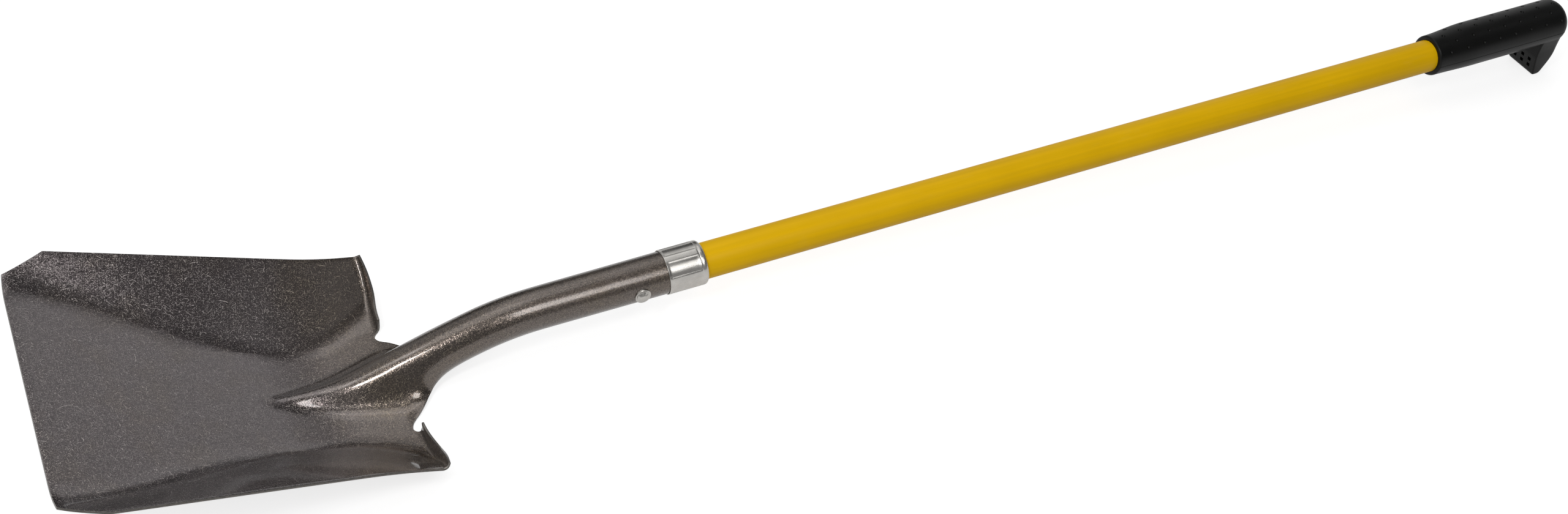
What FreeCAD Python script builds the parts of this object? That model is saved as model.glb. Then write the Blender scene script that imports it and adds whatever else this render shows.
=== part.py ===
"""Square mouth shovel: a pressed steel head on a long jacketed glass fibre handle."""

import FreeCAD, Part
import math
import os

V = FreeCAD.Vector

# The side view is drawn first. The handle's centre line is the X axis, the mouth is at x = 0
# and Z is up, out of the shovel's face. At the end the whole shovel is tipped a little, so that
# it lies on its heel and on the foot of the grip's hook.

# Sheet of the head: floor, side walls, steps, frog and socket are one pressing
sheet = 1.8

# Floor of the blade, measured along its flat front part from the mouth back
lift_angle = 26.9             # floor against the handle
mouth_rise = 65.4             # mouth above the handle's centre line
floor_length = 283.3          # mouth to the foot of the steps
heel_start = 193.0            # where the flat floor begins to curve up
heel_radius = 140.0
heel_angle = 25.5             # slope of the floor between the steps

# Side walls
mouth_half = 125.4            # half the width of the cutting edge
wall_front_half = 145.0       # top of the wall, run on to the mouth
wall_waist_half = 127.9
wall_front_rise = 13.9
wall_waist_rise = 45.4
waist_at = 216.0
corner_out = 5.9              # flick of the wall's top at its rear corner
corner_up = 1.8
chamfer_length = 30.0         # mouth corner, cut off along the wall

# Fold between floor and wall: stations as shares of the floor's length, half widths as shares
# of the cutting edge's half width, and bend radii as shares of the largest bend radius
fold_half_shares = ((0.0, 0.93), (0.11, 0.90), (0.24, 0.80), (0.34, 0.706), (0.48, 0.574),
                    (0.61, 0.494), (0.74, 0.44), (0.84, 0.45), (0.92, 0.54), (1.0, 0.70))
fold_radius = 66.0
fold_radius_shares = ((0.0, 1.1), (0.14, 0.46), (0.70, 0.40), (0.85, 0.50), (1.0, 1.0))

# Steps: the rear edge of each wall is turned up towards the face
step_height = 12.6
step_bend = 4.0
step_angle = 88.0
step_fall_share = 0.87        # how much lower the step is towards its outer corner
step_corner_share = 0.8       # and how far the corner itself is rounded off
step_corner_power = 16
step_back = 2.0               # the step's inner end stands this far behind the tongue's root
corner_forward = 8.1          # and its outer corner this far ahead of it
rear_edge_power = 2.3         # the higher, the later the rear edge turns forward

# Relief notch between a step and the tongue that becomes the socket
tongue_front_half = 45.0
tongue_rear_half = 49.8
notch_radius = 5.6
notch_back = 5.0              # its centre, behind the floor's end
notch_strip = 12.4            # strip of floor beside the tongue that carries no step

# Frog: the hollow ridge that grows out of the floor and becomes the socket
frog_start = 188.0
frog_lead = 12.0              # its foot opens from this far ahead of its tip
frog_rear_half = 41.8
frog_tip_angle = 21.0
frog_tip_pull_share = 1.4     # how long the crest keeps its slope at the tip and at the crank
frog_neck_pull_share = 2.15
wings_meet_share = 0.75       # where the tongue's edges meet, between the floor and the crank
closing_power = 1.25          # the higher, the later the tongue starts to close
frog_crown = 16.8             # bend over the ridge
frog_root = 23.2              # bend at its foot
frog_round_share = 0.9        # how much of the section is round, the rest is flat flank

# Handle: a glass fibre tube in a plastic jacket
handle_radius = 16.0
jacket_wall = 2.0
core_wall = 4.0
skin_gap = 0.05               # between pieces that are bonded or driven together
handle_tip = 406.8            # its end inside the socket
plug_length = 190.0
end_plug_length = 30.0
end_plug_flange = 3.0

# Socket: a tube rolled from the tongue, with its seam at the back
socket_clearance = 0.3        # round the handle, at the crank
socket_flare = 0.6            # how much wider the socket is at its mouth
neck_radius = handle_radius + socket_clearance + sheet
socket_radius = neck_radius + socket_flare
socket_end = 523.8
crank_start = 392.8           # the socket is straight from here to its mouth
crank_radius = 223.0
crank_angle = 15.0
seam_gap = 0.8

# Collar over the socket's mouth
collar_start = 503.8
collar_end = 539.8
collar_wall = 0.7
collar_fit = 0.2
collar_lip = 3.0              # radius of the rolled rear edge
collar_groove_depth = 0.3
collar_groove_width = 1.6
collar_groove_at = 5.5        # groove, from the collar's rear edge

# Rivet through socket and handle
rivet_at = 478.8
rivet_drop = 1.5
rivet_radius = 3.0
rivet_head_radius = 5.6
rivet_head_height = 2.6
rivet_fit = 0.05
washer_radius = 7.0
washer_thickness = 1.2

# Grip: one moulding, a barrel with a blind bore and a hook under its end
grip_start = 1324.8
grip_length = 167.0
grip_end = grip_start + grip_length
grip_end_wall = 9.0           # behind the blind bore
grip_bore_depth = grip_length - grip_end_wall
grip_wall = 4.2               # at the mouth
grip_swell = 2.0              # how much thicker the barrel is
grip_swell_share = 0.3        # share of its length over which it swells
grip_mouth_radius = handle_radius + grip_wall
grip_barrel_radius = grip_mouth_radius + grip_swell
grip_barrel_rise = 1.3        # the barrel swells more on top
grip_mouth_lip = 2.2
grip_mouth_round = 2.0
grip_end_round = 11.0
hook_half = 18.0
hook_length = 29.5
hook_front = grip_end - hook_length   # face that the fingers rest against
hook_depth = 52.5             # below the centre line, before the foot is trimmed flat
hook_front_lean = 4.0
hook_front_knee_share = 0.55  # where the front face begins to lean, as a share of the depth
hook_tip_thickness = 8.8
hook_back_inset = 1.0         # the back stands this far inside the grip's end
hook_knee_inset = 3.0         # and its knee this far
hook_back_top_share = 0.2     # where the back leaves the upright, as a share of the depth
hook_back_knee_share = 0.62
hook_edge_round = 3.0
pit_size = 4.4
pit_depth = 9.0
pit_wall = 2.6
pit_side_wall = 6.1           # between two columns of recesses
pit_columns = 3
pit_rows = 3
foot_trim = 0.4               # taken off the hook's tip where the shovel rests on it

# How finely the sheet's surfaces are drawn
half_columns = 14
notch_columns = 3
wall_columns = 12
flat_row_shares = (0.0, 0.10, 0.24, 0.40, 0.58, 0.77, 0.92)
frog_row_shares = (0.0, 0.08, 0.18, 0.29, 0.41, 0.53, 0.65, 0.77, 0.89, 1.0)
tongue_row_shares = (0.11, 0.22, 0.33, 0.44, 0.55, 0.66, 0.83, 1.0)
crank_rows = 5
straight_row_shares = (0.25, 0.5, 0.75, 1.0)
step_bend_rows = 4
degree = 3
cut_over = 8.0                # how far cutting shapes run past what they cut
sew_tolerance = 0.001
mesh_step = 0.5               # how closely the resting points are looked for
halvings = 60                 # how often a range is halved when a place is looked for

lift = math.radians(lift_angle)
ramp = math.radians(heel_angle)
crank = math.radians(crank_angle)


def curve_through(pairs, place):
    """Smooth curve through (place, value) pairs, level with its neighbours' chords."""
    last = len(pairs) - 1
    if place <= pairs[0][0]:
        return pairs[0][1]
    if place >= pairs[last][0]:
        return pairs[last][1]
    index = max(i for i in range(last) if pairs[i][0] <= place)

    def slope(i):
        low, high = pairs[max(i - 1, 0)], pairs[min(i + 1, last)]
        return (high[1] - low[1]) / (high[0] - low[0])

    (x0, y0), (x1, y1) = pairs[index], pairs[index + 1]
    width = x1 - x0
    s = (place - x0) / width
    return (y0 * (1 + 2 * s) * (1 - s) ** 2 + slope(index) * width * s * (1 - s) ** 2
            + y1 * s * s * (3 - 2 * s) + slope(index + 1) * width * s * s * (s - 1))


def ease(share):
    """Goes from 0 to 1 with level ends."""
    return share * share * (3 - 2 * share)


def from_floor(along, side, height):
    """A point given along and square to the flat floor, in the side view's frame."""
    return V(along * math.cos(lift) + height * math.sin(lift), side,
             mouth_rise - along * math.sin(lift) + height * math.cos(lift))


def floor_height(along):
    """Height of the floor's middle: flat, then the heel's curve, then a straight ramp."""
    if along <= heel_start:
        return 0.0
    curve_run = heel_radius * math.sin(ramp)
    past = along - heel_start
    if past < curve_run:
        return heel_radius - math.sqrt(heel_radius ** 2 - past ** 2)
    return heel_radius * (1 - math.cos(ramp)) + (past - curve_run) * math.tan(ramp)


def wall_top(along):
    """Half width and height of the wall's top edge, with the flick at its rear corner."""
    past = max(0.0, along - waist_at) / (floor_length - waist_at)
    forward = along / waist_at
    half = wall_front_half + (wall_waist_half - wall_front_half) * forward + corner_out * past ** 2
    rise = wall_front_rise + (wall_waist_rise - wall_front_rise) * forward + corner_up * past ** 2
    return half, rise


def tongue_half(along):
    """Half width of the strip of floor that runs back into the tongue."""
    past = max(0.0, along - waist_at) / (floor_length - waist_at)
    return tongue_front_half + (tongue_rear_half - tongue_front_half) * ease(min(past, 1.0))


def wall_run(along, past_notch_share, in_notch_share):
    """A point of one side's section: a share of the way over the strip beside the tongue,
    then a share of the way from there up to the wall's top."""
    share = along / floor_length
    base = floor_height(along)
    top_half, top_rise = wall_top(along)
    inner = tongue_half(along)
    fold = mouth_half * curve_through(fold_half_shares, share)
    slope = math.atan2(top_rise - base, top_half - fold)
    radius = fold_radius * curve_through(fold_radius_shares, share)
    tangent = min(radius * math.tan(slope / 2), fold - inner)
    radius = tangent / math.tan(slope / 2)
    flat = fold - tangent - inner
    bend = radius * slope
    straight = math.hypot(top_half - fold, top_rise - base) - tangent
    run = notch_strip * in_notch_share
    run += (flat + bend + straight - notch_strip) * past_notch_share
    turned = min(max(run - flat, 0.0), bend) / radius
    risen = max(run - flat - bend, 0.0)
    side = inner + min(run, flat) + radius * math.sin(turned) + risen * math.cos(slope)
    height = base + radius * (1 - math.cos(turned)) + risen * math.sin(slope)
    return from_floor(along, side, height)


def wall_section(along):
    """Points across one side at a station, from the tongue's strip up to the wall's top.
    Near the steps the stations curve forward towards the corner."""
    near_steps = ease(max(0.0, along - waist_at) / (floor_length - waist_at))
    points = []
    for column in range(notch_columns + 1):
        share = column / notch_columns
        points.append(wall_run(along + near_steps * step_back * share, 0.0, share))
    for column in range(1, wall_columns + 1):
        share = column / wall_columns
        shift = step_back - (corner_forward + step_back) * share ** rear_edge_power
        points.append(wall_run(along + near_steps * shift, share, 1.0))
    return points


def socket_outside(x):
    """Outer radius of the tube at a station along the handle."""
    share = (x - crank_start) / (socket_end - crank_start)
    return neck_radius + (socket_radius - neck_radius) * max(0.0, share)


def half_section(run, crown, angle, flank, root, back_turn):
    """Side and drop from the crest at a developed distance: crown arc, flank, root arc, flat."""
    arc = min(run, crown * angle)
    side = crown * math.sin(arc / crown)
    drop = crown * (1 - math.cos(arc / crown))
    run -= arc
    straight = min(run, flank)
    side += straight * math.cos(angle)
    drop += straight * math.sin(angle)
    run -= straight
    turned = min(run / root, back_turn)
    side += root * (math.sin(angle) - math.sin(angle - turned))
    drop += root * (math.cos(angle - turned) - math.cos(angle))
    run -= root * turned
    return side + run * math.cos(angle - turned), drop + run * math.sin(angle - turned)


def section_points(developed, section):
    """Evenly spaced points down one side of a section, as pairs of side and drop."""
    return [half_section(developed * column / half_columns, *section)
            for column in range(half_columns + 1)]


def crest_row(crest, lean, points):
    """One row from a crest point down one side, in a plane that leans forward."""
    return [crest + V(math.sin(lean) * drop, side, -math.cos(lean) * drop)
            for side, drop in points]


def drawn_radius(radius):
    """Radius of the control points that draw a tube: they stand out a little from it."""
    return radius * 3 / (2 + math.cos(math.pi / half_columns))


def tube_points(radius):
    """Half of the rolled socket's section, down to its open seam."""
    drawn = drawn_radius(radius)
    closed = math.pi - seam_gap / (2 * drawn)
    return section_points(drawn * closed, (drawn, closed, 0.0, frog_root, 0.0))


def tube_row(centre_x, centre_z, slope, radius):
    """One row around the rolled socket."""
    drawn = drawn_radius(radius)
    crest = V(centre_x - drawn * math.sin(slope), 0, centre_z + drawn * math.cos(slope))
    return crest_row(crest, slope, tube_points(radius))


def crank_point(turned):
    """Centre of the tube on the crank's arc, turned back from the straight socket."""
    return (crank_start - crank_radius * math.sin(turned), -crank_radius * (1 - math.cos(turned)))


def frog_crest(share):
    """Crest of the frog: a smooth curve from its tip on the floor to the crank, with its slope."""
    tip = from_floor(frog_start, 0, 0)
    centre_x, centre_z = crank_point(crank)
    end = V(centre_x - neck_radius * math.sin(crank), 0, centre_z + neck_radius * math.cos(crank))
    chord = (end - tip).Length
    leave = math.radians(frog_tip_angle) - lift
    start_pull = V(math.cos(leave), 0, math.sin(leave)) * chord * frog_tip_pull_share
    end_pull = V(math.cos(crank), 0, math.sin(crank)) * chord * frog_neck_pull_share
    s = share
    place = (tip * ((1 + 2 * s) * (1 - s) ** 2) + start_pull * (s * (1 - s) ** 2)
             + end * (s * s * (3 - 2 * s)) + end_pull * (s * s * (s - 1)))
    way = ((end - tip) * (6 * s * (1 - s)) + start_pull * ((1 - s) * (1 - 3 * s))
           + end_pull * (s * (3 * s - 2)))
    return place, math.atan2(way.z, way.x)


def to_floor(point):
    """Distance along the flat floor and height above it."""
    down = mouth_rise - point.z
    return (point.x * math.cos(lift) + down * math.sin(lift),
            point.x * math.sin(lift) - down * math.cos(lift))


def frog_station(share):
    """Crest, lean of the section's plane, and rise and foot of the ridge at a share of it."""
    crest, slope = frog_crest(share)
    lean = -lift + (slope + lift) * math.sqrt(share)
    down = V(math.sin(lean), 0, -math.cos(lean))
    low, high = 0.0, floor_length
    for _ in range(halvings):
        middle = (low + high) / 2
        along, height = to_floor(crest + down * middle)
        if height > floor_height(along):
            low = middle
        else:
            high = middle
    return crest, lean, low, to_floor(crest + down * low)[0]


def frog_section(rise, foot):
    """Crown arc, flank and root arc that come down rise within the foot's half width."""
    reach = foot * foot + rise * rise
    rounds = min(frog_crown + frog_root, frog_round_share * reach / (2 * rise))
    crown = rounds * frog_crown / (frog_crown + frog_root)
    flank = math.sqrt(reach - 2 * rise * rounds)
    angle = math.atan2(rise - rounds, foot) + math.atan2(rounds, flank)
    return crown, angle, flank, rounds - crown, angle


def frog_end_share():
    """How far along the crest the section's foot reaches the rear of the floor."""
    low, high = 0.0, 1.0
    for _ in range(halvings):
        middle = (low + high) / 2
        if frog_station(middle)[3] < floor_length:
            low = middle
        else:
            high = middle
    return low


def frog_row(share):
    """One row across the frog and the floor beside it."""
    crest, lean, rise, along = frog_station(share)
    opening = (along - frog_start + frog_lead) / (floor_length - frog_start + frog_lead)
    foot = frog_rear_half * opening
    section = frog_section(rise, foot)
    crown, angle, flank, root, _ = section
    developed = (crown + root) * angle + flank + tongue_half(along) - foot
    points = section_points(developed, section)
    return crest_row(crest, lean, points), along, points


def flat_row(along):
    """One row across the flat floor."""
    half = tongue_half(along)
    return [from_floor(along, half * column / half_columns, floor_height(along))
            for column in range(half_columns + 1)]


def tongue_rows(start, open_points):
    """Rows in which the tongue closes from the open ridge to the rolled socket."""
    closed_points = tube_points(neck_radius)
    rows = []
    for share in tongue_row_shares:
        crest, lean, _, _ = frog_station(start + (1 - start) * share)
        closing = min(share / wings_meet_share, 1.0) ** closing_power
        done = (closing + ease(closing)) / 2
        points = [(side + (tube_side - side) * done, drop + (tube_drop - drop) * done)
                  for (side, drop), (tube_side, tube_drop) in zip(open_points, closed_points)]
        rows.append(crest_row(crest, lean, points))
    return rows


def socket_rows():
    """Rows of the crank and of the straight socket."""
    rows = []
    for row in range(1, crank_rows + 1):
        turned = crank * (1 - row / crank_rows)
        rows.append(tube_row(*crank_point(turned), turned, neck_radius))
    for share in straight_row_shares:
        x = crank_start + (socket_end - crank_start) * share
        rows.append(tube_row(x, 0, 0, socket_outside(x)))
    return rows


def mirror_row(row):
    """The same row on the other side, read from its far end to the middle."""
    return [V(p.x, -p.y, p.z) for p in reversed(row)]


def whole_row(row):
    """A row from one side to the other across the middle."""
    return mirror_row(row)[:-1] + row


def under(rows, first_normals=None):
    """Rows on the underside, one sheet below along the surface's own normal."""
    lower, all_normals = [], []
    for i, row in enumerate(rows):
        normals = []
        for j, point in enumerate(row):
            back, ahead = rows[max(i - 1, 0)][j], rows[min(i + 1, len(rows) - 1)][j]
            left, right = row[max(j - 1, 0)], row[min(j + 1, len(row) - 1)]
            normals.append((ahead - back).cross(right - left).normalize())
        if i == 0 and first_normals:
            normals = first_normals
        lower.append([p - n * sheet for p, n in zip(row, normals)])
        all_normals.append(normals)
    return lower, all_normals


def even_knots(count, order):
    """Clamped, evenly spaced knots for a row of control points."""
    spans = count - order
    return [order + 1] + [1] * (spans - 1) + [order + 1], [float(i) for i in range(spans + 1)]


def sheet_face(rows):
    """A smooth face drawn by rows of control points, or a ruled rim from two rows."""
    first_order = min(degree, len(rows) - 1)
    first_counts, first_knots = even_knots(len(rows), first_order)
    cross_counts, cross_knots = even_knots(len(rows[0]), degree)
    surface = Part.BSplineSurface()
    surface.buildFromPolesMultsKnots(rows, first_counts, cross_counts, first_knots, cross_knots,
                                     False, False, first_order, degree)
    return surface.toShape()


def column_of(rows, index):
    """One column of a grid as a row."""
    return [row[index] for row in rows]


def rim(upper, lower, first, last, index):
    """Rim along a grid's row, between two of its columns."""
    return sheet_face([upper[index][first:last + 1], lower[index][first:last + 1]])


def step_rows(base, behind):
    """Rows that turn the wall's rear edge up into the step, lower towards the wall's top."""
    turn = math.radians(step_angle)
    normals = []
    for j, point in enumerate(base):
        left, right = base[max(j - 1, 0)], base[min(j + 1, len(base) - 1)]
        normals.append((point - behind[j]).cross(right - left).normalize())
    rows = [list(base)]
    for i in range(1, step_bend_rows + 2):
        row = []
        for j, point in enumerate(base):
            back = (point - behind[j]).normalize()
            turned = turn * min(i, step_bend_rows) / step_bend_rows
            share = j / (len(base) - 1)
            crown = 1 - step_fall_share * share ** 2
            crown *= 1 - step_corner_share * share ** step_corner_power
            upright = (step_height - step_bend) * crown if i > step_bend_rows else 0.0
            out = step_bend * math.sin(turned) + upright * math.cos(turned)
            up = step_bend * (1 - math.cos(turned)) + upright * math.sin(turned)
            row.append(point + back * out + normals[j] * up)
        rows.append(row)
    return rows


def blade_surfaces():
    """Faces of the pressing: five sheets above, the same below, and the rims between them."""
    strip, along = [], []
    for share in flat_row_shares:
        strip.append(flat_row(frog_start * share))
        along.append(frog_start * share)
    start = frog_end_share()
    for share in frog_row_shares:
        if share == 0:
            strip.append(flat_row(frog_start))
            along.append(frog_start)
            continue
        row, station, points = frog_row(start * share)
        strip.append(row)
        along.append(station)
    walls = [wall_section(station) for station in along]
    half_rows = [row + wall[1:] for row, wall in zip(strip, walls)]
    front = [whole_row(row) for row in half_rows]
    front_under, front_normals = under(front)
    middle = len(front[0]) // 2
    left_edge, right_edge = middle - half_columns, middle + half_columns
    left_step, right_step = left_edge - notch_columns, right_edge + notch_columns
    panels = ((0, left_step), (left_step, left_edge), (left_edge, right_edge),
              (right_edge, right_step), (right_step, 2 * middle))
    last = len(front) - 1

    tongue = [front[last][left_edge:right_edge + 1]]
    tongue += [whole_row(row) for row in tongue_rows(start, points) + socket_rows()]
    tongue_under, _ = under(tongue, front_normals[last][left_edge:right_edge + 1])

    faces = []
    for grid in (front, front_under):
        for first, final in panels:
            faces.append(sheet_face([row[first:final + 1] for row in grid]))
    faces += [sheet_face(tongue), sheet_face(tongue_under)]
    for first, final in panels:
        faces.append(rim(front, front_under, first, final, 0))
    for first, final in (panels[1], panels[3]):
        faces.append(rim(front, front_under, first, final, last))
    for edge in (0, 2 * middle):
        faces.append(sheet_face([column_of(front, edge), column_of(front_under, edge)]))
    for edge in (0, 2 * half_columns):
        faces.append(sheet_face([column_of(tongue, edge), column_of(tongue_under, edge)]))
    faces.append(sheet_face([tongue[-1], tongue_under[-1]]))

    for first, final in (panels[0], panels[-1]):
        outward = slice(first, final + 1)
        base, behind = front[last][outward], front[last - 1][outward]
        if first == 0:
            base, behind = mirror_row(base), mirror_row(behind)
        step = step_rows(base, behind)
        if first == 0:
            step = [mirror_row(row) for row in step]
        step_under, _ = under(step, front_normals[last][outward])
        faces += [sheet_face(step), sheet_face(step_under)]
        faces.append(sheet_face([step[-1], step_under[-1]]))
        for edge in (0, wall_columns):
            faces.append(sheet_face([column_of(step, edge), column_of(step_under, edge)]))
    return faces


def solid_from(faces):
    """Closed solid from faces that share their edges."""
    shape = Part.Compound(faces)
    shape.sewShape(sew_tolerance)
    solid = Part.Solid(shape.Shells[0])
    if solid.Volume < 0:
        solid.reverse()
    return solid


def floor_prism(points, low, high):
    """Prism over an outline in the floor's plane, between two heights above it."""
    corners = [from_floor(along, side, low) for along, side in points]
    face = Part.Face(Part.makePolygon(corners + corners[:1]))
    return face.extrude(from_floor(0, 0, high) - from_floor(0, 0, low))


def corner_cutters():
    """Prisms that cut the mouth corners off along a slant."""
    top_half, top_rise = wall_top(chamfer_length)
    slant = (top_half - mouth_half) / chamfer_length
    cutters = []
    for hand in (-1, 1):
        outline = ((-cut_over, hand * (mouth_half - slant * cut_over)),
                   (chamfer_length + cut_over, hand * (top_half + slant * cut_over)),
                   (-cut_over, hand * (top_half + slant * cut_over)))
        cutters.append(floor_prism(outline, -cut_over, top_rise + cut_over))
    return cutters


def notch_cutters():
    """Upright pins that cut the round notches between the steps and the tongue."""
    height = floor_height(floor_length)
    upright = from_floor(-math.sin(ramp), 0, math.cos(ramp)) - from_floor(0, 0, 0)
    cutters = []
    for hand in (-1, 1):
        middle = hand * (tongue_rear_half + notch_strip / 2)
        start = from_floor(floor_length + notch_back, middle, height) - upright * cut_over
        cutters.append(Part.makeCylinder(notch_radius, 2 * cut_over, start, upright))
    return cutters


def make_blade():
    """The pressed head with its mouth corners, notches and rivet holes cut."""
    blade = solid_from(blade_surfaces())
    for cutter in corner_cutters() + notch_cutters():
        blade = blade.cut(cutter)
    hole = cross_cylinder(rivet_radius + rivet_fit, 2 * socket_radius + cut_over)
    return blade.cut(hole)


def cross_cylinder(radius, length):
    """Cylinder along the rivet's axis, centred on the handle."""
    return Part.makeCylinder(radius, length, V(rivet_at, -length / 2, -rivet_drop), V(0, 1, 0))


def turned(outline):
    """Solid turned about the handle's centre line from an outline of (x, radius) points."""
    points = [V(x, 0, radius) for x, radius in outline]
    face = Part.Face(Part.makePolygon(points + points[:1]))
    return face.revolve(V(0, 0, 0), V(1, 0, 0), 360)


def make_collar():
    """Thin ring pressed over the socket's mouth, its rear edge rolled in to the handle."""
    inner = socket_radius + collar_fit
    outer = inner + collar_wall
    mouth = handle_radius + collar_fit
    inner_lip = collar_lip - collar_wall
    bend_x = collar_end - collar_lip
    groove_x = collar_end - collar_groove_at
    low = outer - collar_groove_depth
    half = collar_groove_width / 2
    edges = [
        Part.makeLine(V(collar_start, 0, inner), V(collar_start, 0, outer)),
        Part.makeLine(V(collar_start, 0, outer), V(groove_x - half, 0, outer)),
        Part.Arc(V(groove_x - half, 0, outer), V(groove_x, 0, low),
                 V(groove_x + half, 0, outer)).toShape(),
        Part.makeLine(V(groove_x + half, 0, outer), V(bend_x, 0, outer)),
        quarter_arc(bend_x, outer - collar_lip, collar_lip),
        Part.makeLine(V(collar_end, 0, outer - collar_lip), V(collar_end, 0, mouth)),
        Part.makeLine(V(collar_end, 0, mouth), V(collar_end - collar_wall, 0, mouth)),
        Part.makeLine(V(collar_end - collar_wall, 0, mouth),
                      V(collar_end - collar_wall, 0, outer - collar_lip)),
        quarter_arc(bend_x, outer - collar_lip, inner_lip),
        Part.makeLine(V(bend_x, 0, inner), V(collar_start, 0, inner)),
    ]
    face = Part.Face(Part.Wire(Part.__sortEdges__(edges)))
    return face.revolve(V(0, 0, 0), V(1, 0, 0), 360)


def quarter_arc(centre_x, centre_radius, radius):
    """Quarter arc from straight up to straight back about a point of the side view."""
    slant = radius * math.sqrt(0.5)
    return Part.Arc(V(centre_x, 0, centre_radius + radius),
                    V(centre_x + slant, 0, centre_radius + slant),
                    V(centre_x + radius, 0, centre_radius)).toShape()


def handle_end():
    """Where the handle stops inside the grip."""
    return grip_start + grip_bore_depth - skin_gap - end_plug_flange


def make_jacket():
    """Plastic jacket over the whole handle."""
    inner = handle_radius - jacket_wall
    outline = [(handle_tip, inner), (handle_tip, handle_radius), (handle_end(), handle_radius),
               (handle_end(), inner)]
    return turned(outline).cut(cross_cylinder(rivet_radius + rivet_fit, 4 * handle_radius))


def make_core():
    """Glass fibre tube inside the jacket."""
    outer = handle_radius - jacket_wall - skin_gap
    inner = outer - core_wall
    outline = [(handle_tip, inner), (handle_tip, outer), (handle_end(), outer),
               (handle_end(), inner)]
    return turned(outline).cut(cross_cylinder(rivet_radius + rivet_fit, 4 * handle_radius))


def core_bore():
    """Radius of the glass fibre tube's bore."""
    return handle_radius - jacket_wall - skin_gap - core_wall


def make_socket_plug():
    """Wooden plug that stiffens the tube where the rivet passes."""
    plug = Part.makeCylinder(core_bore() - skin_gap, plug_length, V(handle_tip, 0, 0), V(1, 0, 0))
    return plug.cut(cross_cylinder(rivet_radius + rivet_fit, 4 * handle_radius))


def make_end_plug():
    """Cap pushed into the tube's rear end, with a flange over the tube and jacket."""
    bore = core_bore() - skin_gap
    x = handle_end()
    outline = [(x - end_plug_length, 0), (x - end_plug_length, bore), (x + skin_gap, bore),
               (x + skin_gap, handle_radius), (x + end_plug_flange, handle_radius),
               (x + end_plug_flange, 0)]
    return turned(outline)


def head_cap(base, side):
    """Domed rivet head standing on a flat base, on one side."""
    rise = rivet_head_height
    radius = (rivet_head_radius ** 2 + rise ** 2) / (2 * rise)
    ball = Part.makeSphere(radius, V(rivet_at, side * (base + rise - radius), -rivet_drop))
    slab = Part.makeCylinder(rivet_head_radius, rise, V(rivet_at, side * base, -rivet_drop),
                             V(0, side, 0))
    return ball.common(slab)


def make_rivet():
    """Solid rivet: a shank and a domed head at each end, one of them closed on the washer."""
    near = socket_outside(rivet_at) + washer_thickness + skin_gap
    far = socket_outside(rivet_at) + skin_gap
    shank = Part.makeCylinder(rivet_radius, near + far, V(rivet_at, -near, -rivet_drop),
                              V(0, 1, 0))
    return shank.fuse([head_cap(near, -1), head_cap(far, 1)]).removeSplitter()


def make_washer():
    """Washer under the closed head, pulled down onto the round of the socket."""
    outer = socket_outside(rivet_at)
    disc = Part.makeCylinder(washer_radius, outer, V(rivet_at, -outer - washer_thickness,
                                                     -rivet_drop), V(0, 1, 0))
    socket = Part.makeCone(socket_outside(rivet_at - cut_over) + skin_gap,
                           socket_outside(rivet_at + cut_over) + skin_gap, 2 * cut_over,
                           V(rivet_at - cut_over, 0, 0), V(1, 0, 0))
    hole = cross_cylinder(rivet_radius + rivet_fit, 4 * socket_radius)
    return disc.cut(socket).cut(hole)


def grip_barrel():
    """Barrel of the grip: round sections that swell from the mouth and a rounded end."""
    mouth_x = grip_start + grip_mouth_lip
    swell_x = grip_start + grip_length * grip_swell_share
    stations = ((mouth_x, grip_mouth_radius, 0.0),
                ((mouth_x + swell_x) / 2, (grip_mouth_radius + grip_barrel_radius) / 2,
                 grip_barrel_rise / 2),
                (swell_x, grip_barrel_radius, grip_barrel_rise),
                ((swell_x + grip_end) / 2, grip_barrel_radius, grip_barrel_rise),
                (grip_end, grip_barrel_radius, grip_barrel_rise))
    wires = [Part.Wire(Part.makeCircle(radius, V(x, 0, rise), V(1, 0, 0)))
             for x, radius, rise in stations]
    barrel = Part.makeLoft(wires, True, False)
    lip = Part.makeCylinder(grip_mouth_radius, grip_mouth_lip, V(grip_start, 0, 0), V(1, 0, 0))
    lip = lip.makeFillet(grip_mouth_round, [rim_edge(lip, grip_start)])
    barrel = barrel.makeFillet(grip_end_round, [rim_edge(barrel, grip_end)])
    return barrel.fuse(lip)


def rim_edge(shape, x):
    """The closed edge of a shape that lies in the plane at x."""
    return [edge for edge in shape.Edges
            if abs(edge.BoundBox.XMin - x) < skin_gap and edge.BoundBox.XLength < skin_gap][0]


def grip_hook():
    """Hook under the grip's end: a wide block that narrows to its foot, cored from the front."""
    foot = -hook_depth
    back = grip_end - hook_back_inset
    outline = [(hook_front, 0), (hook_front, foot * hook_front_knee_share),
               (hook_front + hook_front_lean, foot),
               (hook_front + hook_front_lean + hook_tip_thickness, foot),
               (grip_end - hook_knee_inset, foot * hook_back_knee_share),
               (back, foot * hook_back_top_share), (back, 0)]
    points = [V(x, -hook_half, z) for x, z in outline]
    face = Part.Face(Part.makePolygon(points + points[:1]))
    hook = face.extrude(V(0, 2 * hook_half, 0))
    edges = [edge for edge in hook.Edges
             if edge.BoundBox.YLength < skin_gap and edge.BoundBox.ZMax < -pit_wall]
    hook = hook.makeFillet(hook_edge_round, edges)
    top = -grip_barrel_radius + grip_barrel_rise - pit_wall
    for column in range(pit_columns):
        for row in range(pit_rows):
            across = column - (pit_columns - 1) / 2
            y = across * (pit_size + pit_side_wall) - pit_size / 2
            z = top - pit_size - row * (pit_size + pit_wall)
            hook = hook.cut(Part.makeBox(pit_depth + cut_over, pit_size, pit_size,
                                         V(hook_front - cut_over, y, z)))
    return hook


def make_grip():
    """Moulded grip with its blind bore."""
    grip = grip_barrel().fuse(grip_hook())
    bore = Part.makeCylinder(handle_radius + skin_gap, grip_bore_depth + cut_over,
                             V(grip_start - cut_over, 0, 0), V(1, 0, 0))
    return grip.cut(bore).removeSplitter()


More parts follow.
